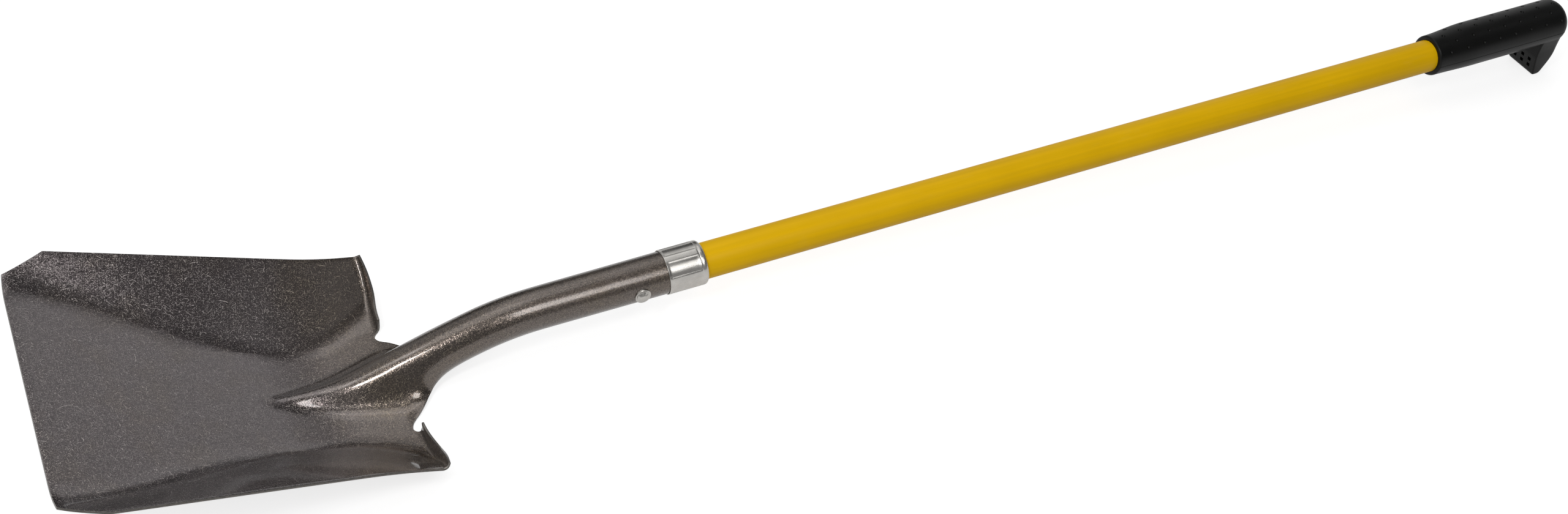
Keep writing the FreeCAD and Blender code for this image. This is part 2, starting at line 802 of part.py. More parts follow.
def lowest(points, tilt):
    """Lowest height that a set of points has once the shovel is tipped."""
    return min(p.z * math.cos(tilt) - p.x * math.sin(tilt) for p in points)


def rest_tilt(heel, foot):
    """Tip that brings the heel down level with the hook's foot, a trim above its end."""
    low, high = -math.radians(lift_angle), math.radians(lift_angle)
    for _ in range(halvings):
        middle = (low + high) / 2
        if lowest(heel, middle) < lowest(foot, middle) + foot_trim:
            low = middle
        else:
            high = middle
    return low


def lay_down(pieces):
    """Tip every piece onto the ground, trim the foot flat and centre the whole on the origin."""
    heel = pieces["blade"].tessellate(mesh_step)[0]
    tilt = rest_tilt(heel, pieces["grip"].tessellate(mesh_step)[0])
    ground = lowest(heel, tilt)
    for shape in pieces.values():
        shape.rotate(V(0, 0, 0), V(0, 1, 0), math.degrees(tilt))
        shape.translate(V(0, 0, -ground))
    below = Part.makeBox(4 * hook_depth, 4 * hook_half, hook_depth,
                         V(grip_start, -2 * hook_half, -hook_depth))
    pieces["grip"] = pieces["grip"].cut(below)
    box = Part.Compound(list(pieces.values())).optimalBoundingBox(False, False)
    for shape in pieces.values():
        shape.translate(V(-(box.XMin + box.XMax) / 2, 0, -box.ZMin))
    return pieces


def main():
    """Make every piece, lay the shovel down and write one file for each piece."""
    pieces = lay_down({
        "blade": make_blade(),
        "collar": make_collar(),
        "rivet": make_rivet(),
        "rivet_washer": make_washer(),
        "handle_core": make_core(),
        "handle_jacket": make_jacket(),
        "socket_plug": make_socket_plug(),
        "handle_end_plug": make_end_plug(),
        "grip": make_grip(),
    })
    os.makedirs("parts", exist_ok=True)
    for name, shape in pieces.items():
        shape.exportStep("parts/" + name + ".step")


main()
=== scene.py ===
"""Square mouth shovel: pressed steel head, crimped collar, jacketed handle and moulded grip."""

import math

import bmesh
import bpy
import numpy as np
from mathutils import Matrix, Vector


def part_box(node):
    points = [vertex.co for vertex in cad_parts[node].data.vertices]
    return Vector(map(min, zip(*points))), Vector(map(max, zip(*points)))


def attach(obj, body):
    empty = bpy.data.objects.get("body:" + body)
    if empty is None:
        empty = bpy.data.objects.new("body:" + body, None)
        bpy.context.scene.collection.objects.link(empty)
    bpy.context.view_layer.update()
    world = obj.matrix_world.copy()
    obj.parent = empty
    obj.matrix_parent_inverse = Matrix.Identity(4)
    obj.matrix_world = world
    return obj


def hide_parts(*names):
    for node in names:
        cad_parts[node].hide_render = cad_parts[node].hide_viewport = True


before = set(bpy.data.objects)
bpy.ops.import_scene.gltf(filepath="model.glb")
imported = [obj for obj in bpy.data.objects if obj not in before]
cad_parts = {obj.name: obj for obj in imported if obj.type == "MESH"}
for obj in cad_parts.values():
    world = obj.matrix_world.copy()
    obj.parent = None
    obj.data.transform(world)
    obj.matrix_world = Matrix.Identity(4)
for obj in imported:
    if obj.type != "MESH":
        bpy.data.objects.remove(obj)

bl_info = {
    "name": "Square mouth shovel",
    "version": (1, 0, 0),
    "blender": (4, 5, 0),
    "location": "3D View > Sidebar > Shovel",
    "description": "Builds the shovel's visible pieces around the packed solids",
    "category": "Add Mesh",
}


# Values that a user would change

def size(name, description, default):
    """A length in metres."""
    return bpy.props.FloatProperty(name=name, description=description, default=default,
                                   unit="LENGTH", precision=5)


def turn(name, description, degrees):
    """An angle, given here in degrees."""
    return bpy.props.FloatProperty(name=name, description=description,
                                   default=math.radians(degrees), subtype="ANGLE")


def linear(code):
    """An sRGB hex colour as linear red, green, blue and alpha."""
    parts = [int(code[i:i + 2], 16) / 255 for i in (1, 3, 5)]
    return tuple(c / 12.92 if c <= 0.04045 else ((c + 0.055) / 1.055) ** 2.4
                 for c in parts) + (1.0,)


def colour(name, description, code):
    """A colour, given here as an sRGB hex code."""
    return bpy.props.FloatVectorProperty(name=name, description=description, subtype="COLOR",
                                         size=4, min=0, max=1, default=linear(code))


class HeadSizes(bpy.types.PropertyGroup):
    """Sizes of the pressed head, in the side view's frame: mouth at x = 0, handle along X."""
    sheet: size("Sheet", "Thickness of the pressed sheet", 0.0018)
    lift_angle: turn("Lift", "Floor against the handle", 26.9)
    mouth_rise: size("Mouth rise", "Mouth above the handle's centre line", 0.0654)
    floor_length: size("Floor length", "Mouth to the foot of the steps", 0.2833)
    heel_start: size("Heel start", "Where the flat floor begins to curve up", 0.193)
    heel_radius: size("Heel radius", "Curve of the heel", 0.140)
    heel_angle: turn("Heel angle", "Slope of the floor between the steps", 25.5)
    mouth_half: size("Mouth half", "Half the width of the cutting edge", 0.1254)
    wall_front_half: size("Wall front", "Half width of the wall's top at the mouth", 0.1449)
    wall_waist_half: size("Wall waist", "Half width of the wall's top at the waist", 0.1279)
    wall_front_rise: size("Wall front rise", "Height of the wall's top at the mouth", 0.0139)
    wall_waist_rise: size("Wall waist rise", "Height of the wall's top at the waist", 0.0454)
    waist_at: size("Waist", "Distance from the mouth to the waist", 0.216)
    corner_out: size("Corner out", "Sideways flick of the wall's rear corner", 0.0059)
    corner_up: size("Corner up", "Upward flick of the wall's rear corner", 0.0018)
    chamfer_length: size("Chamfer", "Mouth corner cut off along the wall", 0.030)
    fold_radius: size("Fold radius", "Largest bend between floor and wall", 0.066)
    step_height: size("Step height", "Turned-up rear edge of each wall", 0.0126)
    step_bend: size("Step bend", "Bend at the foot of the step", 0.004)
    step_angle: turn("Step angle", "Step against the floor", 88)
    step_back: size("Step back", "Step's inner end behind the tongue's root", 0.0020)
    corner_forward: size("Corner forward", "Step's outer corner ahead of the root", 0.0081)
    tongue_front_half: size("Tongue front", "Half width of the tongue's strip ahead", 0.0450)
    tongue_rear_half: size("Tongue rear", "Half width of the tongue at its root", 0.0498)
    notch_strip: size("Notch strip", "Strip of floor beside the tongue with no step", 0.0124)
    frog_start: size("Frog start", "Where the ridge begins", 0.188)
    frog_lead: size("Frog lead", "How far ahead of its tip the ridge's foot opens", 0.012)
    frog_rear_half: size("Frog rear", "Half width of the ridge's foot at the rear", 0.0418)
    frog_tip_angle: turn("Frog tip", "Slope of the ridge at its tip", 21)
    frog_crown: size("Frog crown", "Bend over the ridge", 0.0168)
    frog_root: size("Frog root", "Bend at the ridge's foot", 0.0232)
    handle_radius: size("Handle radius", "Outside of the jacket", 0.016)
    handle_tip: size("Handle tip", "End of the handle inside the socket", 0.4068)
    socket_clearance: size("Socket clearance", "Gap between socket and handle", 0.0003)
    socket_flare: size("Socket flare", "How much wider the socket is at its mouth", 0.0006)
    socket_end: size("Socket end", "Mouth of the socket", 0.5238)
    crank_start: size("Crank", "Where the socket becomes straight", 0.3928)
    crank_radius: size("Crank radius", "Curve of the crank", 0.223)
    crank_angle: turn("Crank angle", "How far the crank turns", 15)
    seam_gap: size("Seam gap", "Gap between the rolled edges", 0.0008)
    edge_round: size("Edge round", "Softened edge of the sheared sheet", 0.00035)
    steel: colour("Steel", "Tempered steel under its lacquer", "#5c5556")
    scale_tint: colour("Scale", "Brown tint of the heat scale", "#5f554d")
    fleck: colour("Scratch", "Hair-fine scratches in the steel", "#c6bebb")
    fleck_tint: colour("Scratch in scale", "Hair-fine scratches in the heat scale", "#c2b499")


class CollarSizes(bpy.types.PropertyGroup):
    """Sizes of the collar and of the rivet beside it."""
    start: size("Start", "Front edge", 0.5038)
    end: size("End", "Rear edge", 0.5398)
    wall: size("Wall", "Thickness of the ring", 0.0007)
    fit: size("Fit", "Gap to the socket and to the handle", 0.0002)
    lip: size("Lip", "Radius of the rolled rear edge", 0.003)
    groove_depth: size("Groove depth", "Depth of the ring groove", 0.0003)
    groove_width: size("Groove width", "Width of the ring groove", 0.0016)
    groove_at: size("Groove place", "Groove from the rear edge", 0.0055)
    panels: bpy.props.IntProperty(name="Panels", description="Shallow crimped panels around",
                                  default=6)
    panel_depth: size("Panel depth", "How deep the crimped panels are", 0.00035)
    rivet_at: size("Rivet", "Place of the rivet along the handle", 0.4788)
    rivet_drop: size("Rivet drop", "Rivet below the centre line", 0.0015)
    rivet_radius: size("Rivet radius", "Radius of the shank", 0.003)
    head_radius: size("Head radius", "Radius of the rivet's heads", 0.0056)
    head_height: size("Head height", "Height of the rivet's heads", 0.0026)
    washer_radius: size("Washer radius", "Radius of the washer", 0.007)
    washer_thickness: size("Washer thickness", "Thickness of the washer", 0.0012)
    zinc: colour("Zinc", "Bright zinc plating", "#dfdcd7")


class HandleSizes(bpy.types.PropertyGroup):
    """Sizes of the handle and of the grip."""
    jacket_wall: size("Jacket wall", "Thickness of the plastic jacket", 0.002)
    grip_start: size("Grip start", "Mouth of the grip", 1.3248)
    grip_end: size("Grip end", "End of the grip", 1.4918)
    bore_depth: size("Bore depth", "Depth of the grip's bore", 0.158)
    skin_gap: size("Skin gap", "Gap between pieces driven together", 0.00005)
    end_flange: size("End flange", "Flange of the plug in the handle's end", 0.003)
    grip_wall: size("Grip wall", "Wall of the grip at its mouth", 0.0042)
    grip_swell: size("Grip swell", "How much thicker the barrel is", 0.002)
    barrel_rise: size("Barrel rise", "How much the barrel swells upwards", 0.0013)
    mouth_round: size("Mouth round", "Round of the grip's mouth", 0.0022)
    end_round: size("End round", "Round of the grip's end", 0.011)
    hook_half: size("Hook half", "Half width of the hook", 0.0184)
    hook_front: size("Hook front", "Face that the fingers rest against", 1.4623)
    hook_depth: size("Hook depth", "Tip of the hook below the centre line", 0.0525)
    hook_lean: size("Hook lean", "How far the front face leans back", 0.004)
    hook_tip: size("Hook tip", "Thickness of the hook's tip", 0.0088)
    hook_inset: size("Hook inset", "How far the hook lies inside the barrel's skin", 0.0002)
    hook_edge: size("Hook edge", "Round of the hook's edges", 0.003)
    pit_size: size("Pit size", "Square moulded recess", 0.0040)
    pit_depth: size("Pit depth", "Depth of a recess", 0.009)
    pit_down: size("Pit down", "Between the rows of recesses", 0.0074)
    pit_across: size("Pit across", "Between the columns of recesses", 0.0098)
    pit_low: size("Pit low", "Lowest row of recesses below the centre line", 0.0428)
    dimple_ball: size("Dimple ball", "Radius of the ball that each dimple is a part of", 0.0020)
    dimple_depth: size("Dimple depth", "Depth of a grip dimple", 0.0014)
    dimple_pitch: size("Dimple pitch", "Distance between dimples", 0.0200)
    dimple_first: size("First dimple", "From the grip's mouth", 0.0137)
    dimple_turn: turn("Dimple turn", "Angle between two rows of dimples", 27)
    mould_line: size("Mould line", "Depth of the line where the mould's halves meet", 0.00022)
    mould_turn: turn("Mould line turn", "Place of the mould line from the top", 92)
    yellow: colour("Jacket", "Plastic jacket of the handle", "#f1bd00")
    black: colour("Grip", "Moulded grip", "#090909")


class StageSettings(bpy.types.PropertyGroup):
    """Camera, floor and light."""
    camera_place: bpy.props.FloatVectorProperty(
        name="Camera", description="Where the camera stands", subtype="XYZ", unit="LENGTH",
        default=(-0.690063, -1.062695, 1.137502))
    camera_turn: bpy.props.FloatVectorProperty(
        name="Camera turn", description="Which way the camera looks", subtype="EULER",
        default=(0.821058, -0.054366, -0.437513))
    lens: bpy.props.FloatProperty(name="Lens", description="Focal length on a 36 mm sensor",
                                  default=42.975, unit="CAMERA")
    floor: colour("Floor", "Plain pale floor", "#c4c4c4")


SETTINGS = {"shovel_head": HeadSizes, "shovel_collar": CollarSizes,
            "shovel_handle": HandleSizes, "shovel_stage": StageSettings}

# Fold between floor and wall: stations as shares of the floor's length, with half widths and bend
# radii as shares of their largest values
FOLD_HALF_SHARES = ((0.0, 0.93), (0.11, 0.90), (0.24, 0.80), (0.34, 0.706), (0.48, 0.574),
                    (0.61, 0.494), (0.74, 0.44), (0.84, 0.45), (0.92, 0.54), (1.0, 0.70))
FOLD_RADIUS_SHARES = ((0.0, 1.1), (0.14, 0.46), (0.70, 0.40), (0.85, 0.50), (1.0, 1.0))
# Control rows along the flat floor, the frog, the open tongue and the straight socket, as shares
FLAT_ROW_SHARES = (0.0, 0.10, 0.24, 0.40, 0.58, 0.77, 0.92, 1.0)
FROG_ROW_SHARES = (0.08, 0.18, 0.29, 0.41, 0.53, 0.65, 0.77, 0.89, 1.0)
TONGUE_ROW_SHARES = (0.11, 0.22, 0.33, 0.44, 0.55, 0.66, 0.83, 1.0)
TUBE_ROW_SHARES = (0.25, 0.5, 0.75, 1.0)
# Frog: pull of its crest curve at both ends, and most of the ridge that its two bends may take
TIP_PULL, NECK_PULL = 1.4, 2.15
FROG_ROUND = 0.9
# Tongue: where along it the rolled wings meet, and how late they close
WINGS_MEET, WINGS_CLOSING = 0.75, 1.25
# Steps: how their height falls outwards and drops at the corner, and the curve of the rear edge
STEP_FALL, STEP_CORNER, STEP_CORNER_POWER = 0.87, 0.8, 16
REAR_EDGE_POWER = 2.3
# Control points across the centre, the notch strip and the wall, and rows of bends
HALF_COLUMNS, NOTCH_COLUMNS, WALL_COLUMNS = 14, 3, 12
CRANK_ROWS, STEP_BEND_ROWS = 5, 4
# Points of the finished grids: along the floor and the tongue, then across the centre, a notch
# strip and a wall
FLOOR_POINTS, TONGUE_POINTS, CENTRE_POINTS, STRIP_POINTS, WALL_POINTS = 111, 131, 61, 15, 37
# Points up a step to the end of its bend, which is this share of it, and the two above it
STEP_POINTS, STEP_BEND_END, STEP_TOP = 13, 0.8, (0.9, 1.0)
# Degrees past which an edge of the sheet is sheared and gets its softened edge
HEAD_EDGE_ANGLE = 55
# Points nearer than this are one: in any piece, and where the head's grids meet
MERGE, MERGE_GRIDS = 1e-6, 2e-6

# Collar: length, width and slope of a crimped panel as shares, the turn of the first, and how
# deep into the wall it presses
PANEL_LONG, PANEL_WIDE, PANEL_SLOPE, PANEL_TURN, PANEL_INTO = 0.42, 0.72, 0.14, 0.25, 0.6
# Rivet: hammer marks, their spread and width as shares of the head, and their depth
HITS, HIT_SPREAD, HIT_WIDTH, HIT_DEPTH = 14, 0.8, 0.22, 0.00022
# Broken edges of the rivet and washer, and of the jacket's cut ends
RIVET_EDGE, JACKET_EDGE = 0.0003, 0.0004
# Jacket: length at its ends without rings, then the rings outside and inside
JACKET_PLAIN, JACKET_RINGS, JACKET_INNER_RINGS = 0.02, 44, 12
# Faces around each turned piece
COLLAR_SEGMENTS, RIVET_SEGMENTS, WASHER_SEGMENTS = 192, 48, 72
JACKET_SEGMENTS, GRIP_SEGMENTS, BORE_SEGMENTS = 96, 144, 128

# Grip: share of its length over which it swells. Hook, by shares of its depth: where its front
# begins to lean, how its back tapers, how it widens to the barrel, and the round of its foot
SWELL_SHARE = 0.3
HOOK_KNEE_SHARE = 0.55
HOOK_BACK = ((0.0, 0.0), (0.2, 0.05), (0.4, 0.10), (0.56, 0.19), (0.72, 0.42), (1.0, 1.0))
HOOK_FLARE = ((0.0, 1.0), (0.15, 0.45), (0.38, 0.05), (0.6, 0.0), (1.0, 0.0))
HOOK_FOOT = ((0.0, 0.0), (0.93, 0.0), (0.97, 0.15), (1.0, 0.7))
# Rings of the hook above the centre line, inside the barrel, and the number below it
HOOK_SUNK, HOOK_RINGS = (0.006, 0.003), 40
# Most of the hook's thickness that its rear corner's round may take
HOOK_ROUND = 0.6
# Dimples along and around the barrel, and recesses across and down the hook's face
DIMPLE_COLUMNS, DIMPLE_ROWS = 8, 5
PIT_COLUMNS, PIT_ROWS = 3, 2

# Layers of scratches, finest first: cell in metres, then width, length, bend and share kept in
# cells, and a seed
SCRATCH_SIZES = ("Cell", "Width", "Length", "Bend", "Kept", "Seed")
SCRATCH_LAYERS = ((0.0012, 0.15, 0.34, 2.0, 0.90, 3.1), (0.0017, 0.10, 0.46, 3.0, 0.80, 17.7),
                  (0.0026, 0.060, 0.60, 2.0, 0.95, 29.3), (0.0042, 0.036, 0.65, 1.4, 0.85, 41.3),
                  (0.0110, 0.014, 0.75, 0.8, 0.50, 77.9))
# How far a scratch and a facet tilt the light
SCRATCH_TILT, FACET_TILT = 0.8, 0.17

# Lamps: name, place, aim, size and power
LAMPS = (
    ("softbox past the mouth", (-1.32, -0.78, 1.60), (-0.47, 0.0, 0.05), (0.26, 0.45), 7),
    ("softbox over the camera's shoulder", (0.0, -1.42, 1.62), (-0.30, 0.0, 0.05), (0.6, 0.9), 10),
    ("softbox overhead", (-0.7, 0.25, 2.4), (-0.35, 0.1, 0.0), (1.2, 1.6), 5),
    ("small softbox by the mouth", (-0.64, 0.07, 0.38), (-0.72, 0.13, 0.10), (0.06, 0.16), 0.07))
# Room: its level, then directions where it is brighter or dimmer, the cosines between which the
# change comes in, and the factor there
ROOM_LEVEL = 0.46
ROOM = (((0.72, -0.26, 0.64), 0.66, 0.76, 0.32), ((-0.10, -0.99, 0.10), 0.60, 0.80, 0.50),
        ((0.67, -0.18, 0.72), 0.97, 0.996, 2.6), ((0.18, 0.38, 0.91), 0.92, 0.98, 2.2),
        ((0.29, 0.07, 0.955), 0.982, 0.997, 2.2), ((0.22, 0.67, 0.71), 0.93, 0.99, 1.25),
        ((0.53, 0.53, 0.66), 0.94, 0.99, 0.65), ((0.61, 0.68, 0.41), 0.95, 0.99, 1.4),
        ((0.12, 0.96, 0.25), 0.93, 0.975, 0.12))
# Floor: half its width, and its own light as the camera and as reflections see it
FLOOR_REACH, FLOOR_GLOW, FLOOR_GLOW_MIRRORED = 30.0, 0.72, 0.34
# Camera: sensor's width in millimetres, and how far it sees
SENSOR, CAMERA_REACH = 36, 50


def curve_through(pairs, place):
    """Smooth curve through (place, value) pairs."""
    last = len(pairs) - 1
    if place <= pairs[0][0]:
        return pairs[0][1]
    if place >= pairs[last][0]:
        return pairs[last][1]
    i = max(k for k in range(last) if pairs[k][0] <= place)

    def slope(k):
        low, high = pairs[max(k - 1, 0)], pairs[min(k + 1, last)]
        return (high[1] - low[1]) / (high[0] - low[0])

    (x0, y0), (x1, y1) = pairs[i], pairs[i + 1]
    width, s = x1 - x0, (place - x0) / (x1 - x0)
    return (y0 * (1 + 2 * s) * (1 - s) ** 2 + slope(i) * width * s * (1 - s) ** 2
            + y1 * s * s * (3 - 2 * s) + slope(i + 1) * width * s * s * (s - 1))


def ease(s):
    """Goes from 0 to 1 with level ends."""
    return s * s * (3 - 2 * s)


class HeadShape:
    """The sheet's upper face, worked out from the head's sizes as rows of control points."""

    def __init__(self, sizes):
        self.s = sizes
        self.lift, self.ramp, self.crank = sizes.lift_angle, sizes.heel_angle, sizes.crank_angle
        self.neck = sizes.handle_radius + sizes.socket_clearance + sizes.sheet

    def from_floor(self, along, side, height):
        """A point given along and square to the flat floor."""
        return np.array((along * math.cos(self.lift) + height * math.sin(self.lift), side,
                         self.s.mouth_rise - along * math.sin(self.lift)
                         + height * math.cos(self.lift)))

    def to_floor(self, point):
        """Distance along the flat floor and height above it."""
        down = self.s.mouth_rise - point[2]
        return (point[0] * math.cos(self.lift) + down * math.sin(self.lift),
                point[0] * math.sin(self.lift) - down * math.cos(self.lift))

    def floor_height(self, along):
        """Height of the floor's middle: flat, the heel's curve, then a straight ramp."""
        s = self.s
        if along <= s.heel_start:
            return 0.0
        run, past = s.heel_radius * math.sin(self.ramp), along - s.heel_start
        if past < run:
            return s.heel_radius - math.sqrt(s.heel_radius ** 2 - past ** 2)
        return s.heel_radius * (1 - math.cos(self.ramp)) + (past - run) * math.tan(self.ramp)

    def past_waist(self, along):
        """Share of the way from the waist to the steps."""
        return min(max(0.0, along - self.s.waist_at) / (self.s.floor_length - self.s.waist_at), 1.0)

    def wall_top(self, along):
        """Half width and height of the wall's top edge."""
        s, forward, past = self.s, along / self.s.waist_at, self.past_waist(along)
        return (s.wall_front_half + (s.wall_waist_half - s.wall_front_half) * forward
                + s.corner_out * past ** 2,
                s.wall_front_rise + (s.wall_waist_rise - s.wall_front_rise) * forward
                + s.corner_up * past ** 2)

    def tongue_half(self, along):
        """Half width of the strip of floor that runs back into the tongue."""
        s = self.s
        return (s.tongue_front_half
                + (s.tongue_rear_half - s.tongue_front_half) * ease(self.past_waist(along)))

    def wall_run(self, along, past_notch, in_notch):
        """A point of one side's section, by shares over the notch's strip and over the rest."""
        s, share = self.s, along / self.s.floor_length
        base, inner = self.floor_height(along), self.tongue_half(along)
        top_half, top_rise = self.wall_top(along)
        fold = s.mouth_half * curve_through(FOLD_HALF_SHARES, share)
        slope = math.atan2(top_rise - base, top_half - fold)
        radius = s.fold_radius * curve_through(FOLD_RADIUS_SHARES, share)
        tangent = min(radius * math.tan(slope / 2), fold - inner)
        radius = tangent / math.tan(slope / 2)
        flat, bend = fold - tangent - inner, radius * slope
        straight = math.hypot(top_half - fold, top_rise - base) - tangent
        run = s.notch_strip * in_notch + (flat + bend + straight - s.notch_strip) * past_notch
        turned = min(max(run - flat, 0.0), bend) / radius
        risen = max(run - flat - bend, 0.0)
        side = inner + min(run, flat) + radius * math.sin(turned) + risen * math.cos(slope)
        return self.from_floor(along, side, base + radius * (1 - math.cos(turned))
                               + risen * math.sin(slope))

    def wall_section(self, along):
        """Points across one side at a station, curving forward towards the corner."""
        s, near = self.s, ease(self.past_waist(along))
        points = [self.wall_run(along + near * s.step_back * k / NOTCH_COLUMNS, 0.0,
                                k / NOTCH_COLUMNS) for k in range(NOTCH_COLUMNS + 1)]
        for k in range(1, WALL_COLUMNS + 1):
            share = k / WALL_COLUMNS
            shift = s.step_back - (s.corner_forward + s.step_back) * share ** REAR_EDGE_POWER
            points.append(self.wall_run(along + near * shift, share, 1.0))
        return points

    def socket_outside(self, x):
        """Outer radius of the tube at a station along the handle."""
        share = (x - self.s.crank_start) / (self.s.socket_end - self.s.crank_start)
        return self.neck + self.s.socket_flare * max(0.0, share)

    def half_section(self, run, crown, angle, flank, root, back_turn):
        """Side and drop from the crest: crown arc, flank, root arc, flat."""
        arc = min(run, crown * angle)
        side, drop = crown * math.sin(arc / crown), crown * (1 - math.cos(arc / crown))
        run -= arc
        straight = min(run, flank)
        side, drop = side + straight * math.cos(angle), drop + straight * math.sin(angle)
        run -= straight
        turned = min(run / root, back_turn)
        side += root * (math.sin(angle) - math.sin(angle - turned))
        drop += root * (math.cos(angle - turned) - math.cos(angle))
        run -= root * turned
        return side + run * math.cos(angle - turned), drop + run * math.sin(angle - turned)

    def section_points(self, developed, section):
        """Evenly spaced points down one side of a section."""
        return [self.half_section(developed * k / HALF_COLUMNS, *section)
                for k in range(HALF_COLUMNS + 1)]

    def crest_row(self, crest, lean, points):
        """One row from a crest point down one side, in a plane that leans forward."""
        ahead, down = math.sin(lean), -math.cos(lean)
        return [np.array((crest[0] + ahead * drop, side, crest[2] + down * drop))
                for side, drop in points]

    def drawn_radius(self, radius):
        """Radius of the control points that draw a tube: they stand out a little from it."""
        return radius * 3 / (2 + math.cos(math.pi / HALF_COLUMNS))

    def tube_points(self, radius):
        """Half of the rolled socket's section, down to its open seam."""
        drawn = self.drawn_radius(radius)
        closed = math.pi - self.s.seam_gap / (2 * drawn)
        return self.section_points(drawn * closed, (drawn, closed, 0.0, self.s.frog_root, 0.0))

    def tube_row(self, centre, slope, radius):
        """One row around the rolled socket."""
        drawn = self.drawn_radius(radius)
        crest = (centre[0] - drawn * math.sin(slope), 0, centre[1] + drawn * math.cos(slope))
        return self.crest_row(crest, slope, self.tube_points(radius))

    def crank_point(self, turned):
        """Centre of the tube on the crank's arc."""
        s = self.s
        return (s.crank_start - s.crank_radius * math.sin(turned),
                -s.crank_radius * (1 - math.cos(turned)))

    def frog_crest(self, s):
        """Crest of the frog and its slope: a smooth curve from its tip to the crank."""
        tip = self.from_floor(self.s.frog_start, 0, 0)
        centre = self.crank_point(self.crank)
        end = np.array((centre[0] - self.neck * math.sin(self.crank), 0,
                        centre[1] + self.neck * math.cos(self.crank)))
        chord = np.linalg.norm(end - tip)
        leave = self.s.frog_tip_angle - self.lift
        start_pull = np.array((math.cos(leave), 0, math.sin(leave))) * chord * TIP_PULL
        end_pull = np.array((math.cos(self.crank), 0, math.sin(self.crank))) * chord * NECK_PULL
        place = (tip * ((1 + 2 * s) * (1 - s) ** 2) + start_pull * (s * (1 - s) ** 2)
                 + end * (s * s * (3 - 2 * s)) + end_pull * (s * s * (s - 1)))
        way = ((end - tip) * (6 * s * (1 - s)) + start_pull * ((1 - s) * (1 - 3 * s))
               + end_pull * (s * (3 * s - 2)))
        return place, math.atan2(way[2], way[0])

    def halve(self, test, high):
        """Largest value up to high that still passes a test, by halving."""
        low = 0.0
        for _ in range(50):
            middle = (low + high) / 2
            if test(middle):
                low = middle
            else:
                high = middle
        return low

    def frog_station(self, share):
        """Crest, lean of the section's plane, rise and foot of the ridge at a share of it."""
        crest, slope = self.frog_crest(share)
        lean = -self.lift + (slope + self.lift) * math.sqrt(share)
        down = np.array((math.sin(lean), 0, -math.cos(lean)))

        def above(drop):
            along, height = self.to_floor(crest + down * drop)
            return height > self.floor_height(along)

        rise = self.halve(above, self.s.floor_length)
        return crest, lean, rise, self.to_floor(crest + down * rise)[0]

    def frog_section(self, rise, foot):
        """Crown arc, flank and root arc that come down rise within the foot's half width."""
        s, reach = self.s, foot * foot + rise * rise
        rounds = min(s.frog_crown + s.frog_root, FROG_ROUND * reach / (2 * rise))
        crown = rounds * s.frog_crown / (s.frog_crown + s.frog_root)
        flank = math.sqrt(reach - 2 * rise * rounds)
        angle = math.atan2(rise - rounds, foot) + math.atan2(rounds, flank)
        return crown, angle, flank, rounds - crown, angle

    def frog_row(self, share):
        """One row across the frog and the floor beside it."""
        s = self.s
        crest, lean, rise, along = self.frog_station(share)
        foot = s.frog_rear_half * (along - s.frog_start + s.frog_lead) / (
            s.floor_length - s.frog_start + s.frog_lead)
        section = self.frog_section(rise, foot)
        crown, angle, flank, root, _ = section
        developed = (crown + root) * angle + flank + self.tongue_half(along) - foot
        points = self.section_points(developed, section)
        return self.crest_row(crest, lean, points), along, points

    def flat_row(self, along):
        """One row across the flat floor."""
        half = self.tongue_half(along)
        return [self.from_floor(along, half * k / HALF_COLUMNS, self.floor_height(along))
                for k in range(HALF_COLUMNS + 1)]

    def control_rows(self):
        """Control rows of the centre, notch strip and wall on the +Y side, and of the tongue."""
        s = self.s
        along = [s.frog_start * share for share in FLAT_ROW_SHARES]
        strip = [self.flat_row(station) for station in along]
        start = self.halve(lambda share: self.frog_station(share)[3] < s.floor_length, 1.0)
        for share in FROG_ROW_SHARES:
            row, station, points = self.frog_row(start * share)
            strip.append(row)
            along.append(station)
        walls = [self.wall_section(station) for station in along]

        closed = self.tube_points(self.neck)
        tongue = [strip[-1]]
        for share in TONGUE_ROW_SHARES:
            crest, lean, _, _ = self.frog_station(start + (1 - start) * share)
            closing = min(share / WINGS_MEET, 1.0) ** WINGS_CLOSING
            done = (closing + ease(closing)) / 2
            blend = [(a + (c - a) * done, b + (d - b) * done)
                     for (a, b), (c, d) in zip(points, closed)]
            tongue.append(self.crest_row(crest, lean, blend))
        for k in range(1, CRANK_ROWS + 1):
            turned = self.crank * (1 - k / CRANK_ROWS)
            tongue.append(self.tube_row(self.crank_point(turned), turned, self.neck))
        for share in TUBE_ROW_SHARES:
            x = s.crank_start + (s.socket_end - s.crank_start) * share
            tongue.append(self.tube_row((x, 0), 0, self.socket_outside(x)))
        return (np.array(strip), np.array([w[:NOTCH_COLUMNS + 1] for w in walls]),
                np.array([w[NOTCH_COLUMNS:] for w in walls]), np.array(tongue))

    def step_rows(self, base, behind):
        """Rows that turn the wall's rear edge up into the step."""
        s, normals = self.s, []
        for j, point in enumerate(base):
            across = base[min(j + 1, len(base) - 1)] - base[max(j - 1, 0)]
            normal = np.cross(point - behind[j], across)
            normals.append(normal / np.linalg.norm(normal))
        rows = [list(base)]
        for i in range(1, STEP_BEND_ROWS + 2):
            turned = s.step_angle * min(i, STEP_BEND_ROWS) / STEP_BEND_ROWS
            row = []
            for j, point in enumerate(base):
                back = (point - behind[j]) / np.linalg.norm(point - behind[j])
                share = j / (len(base) - 1)
                corner = 1 - STEP_CORNER * share ** STEP_CORNER_POWER
                crown = (1 - STEP_FALL * share ** 2) * corner
                upright = (s.step_height - s.step_bend) * crown if i > STEP_BEND_ROWS else 0.0
                out = s.step_bend * math.sin(turned) + upright * math.cos(turned)
                up = s.step_bend * (1 - math.cos(turned)) + upright * math.sin(turned)
                row.append(point + back * out + normals[j] * up)
            rows.append(row)
        return np.array(rows)


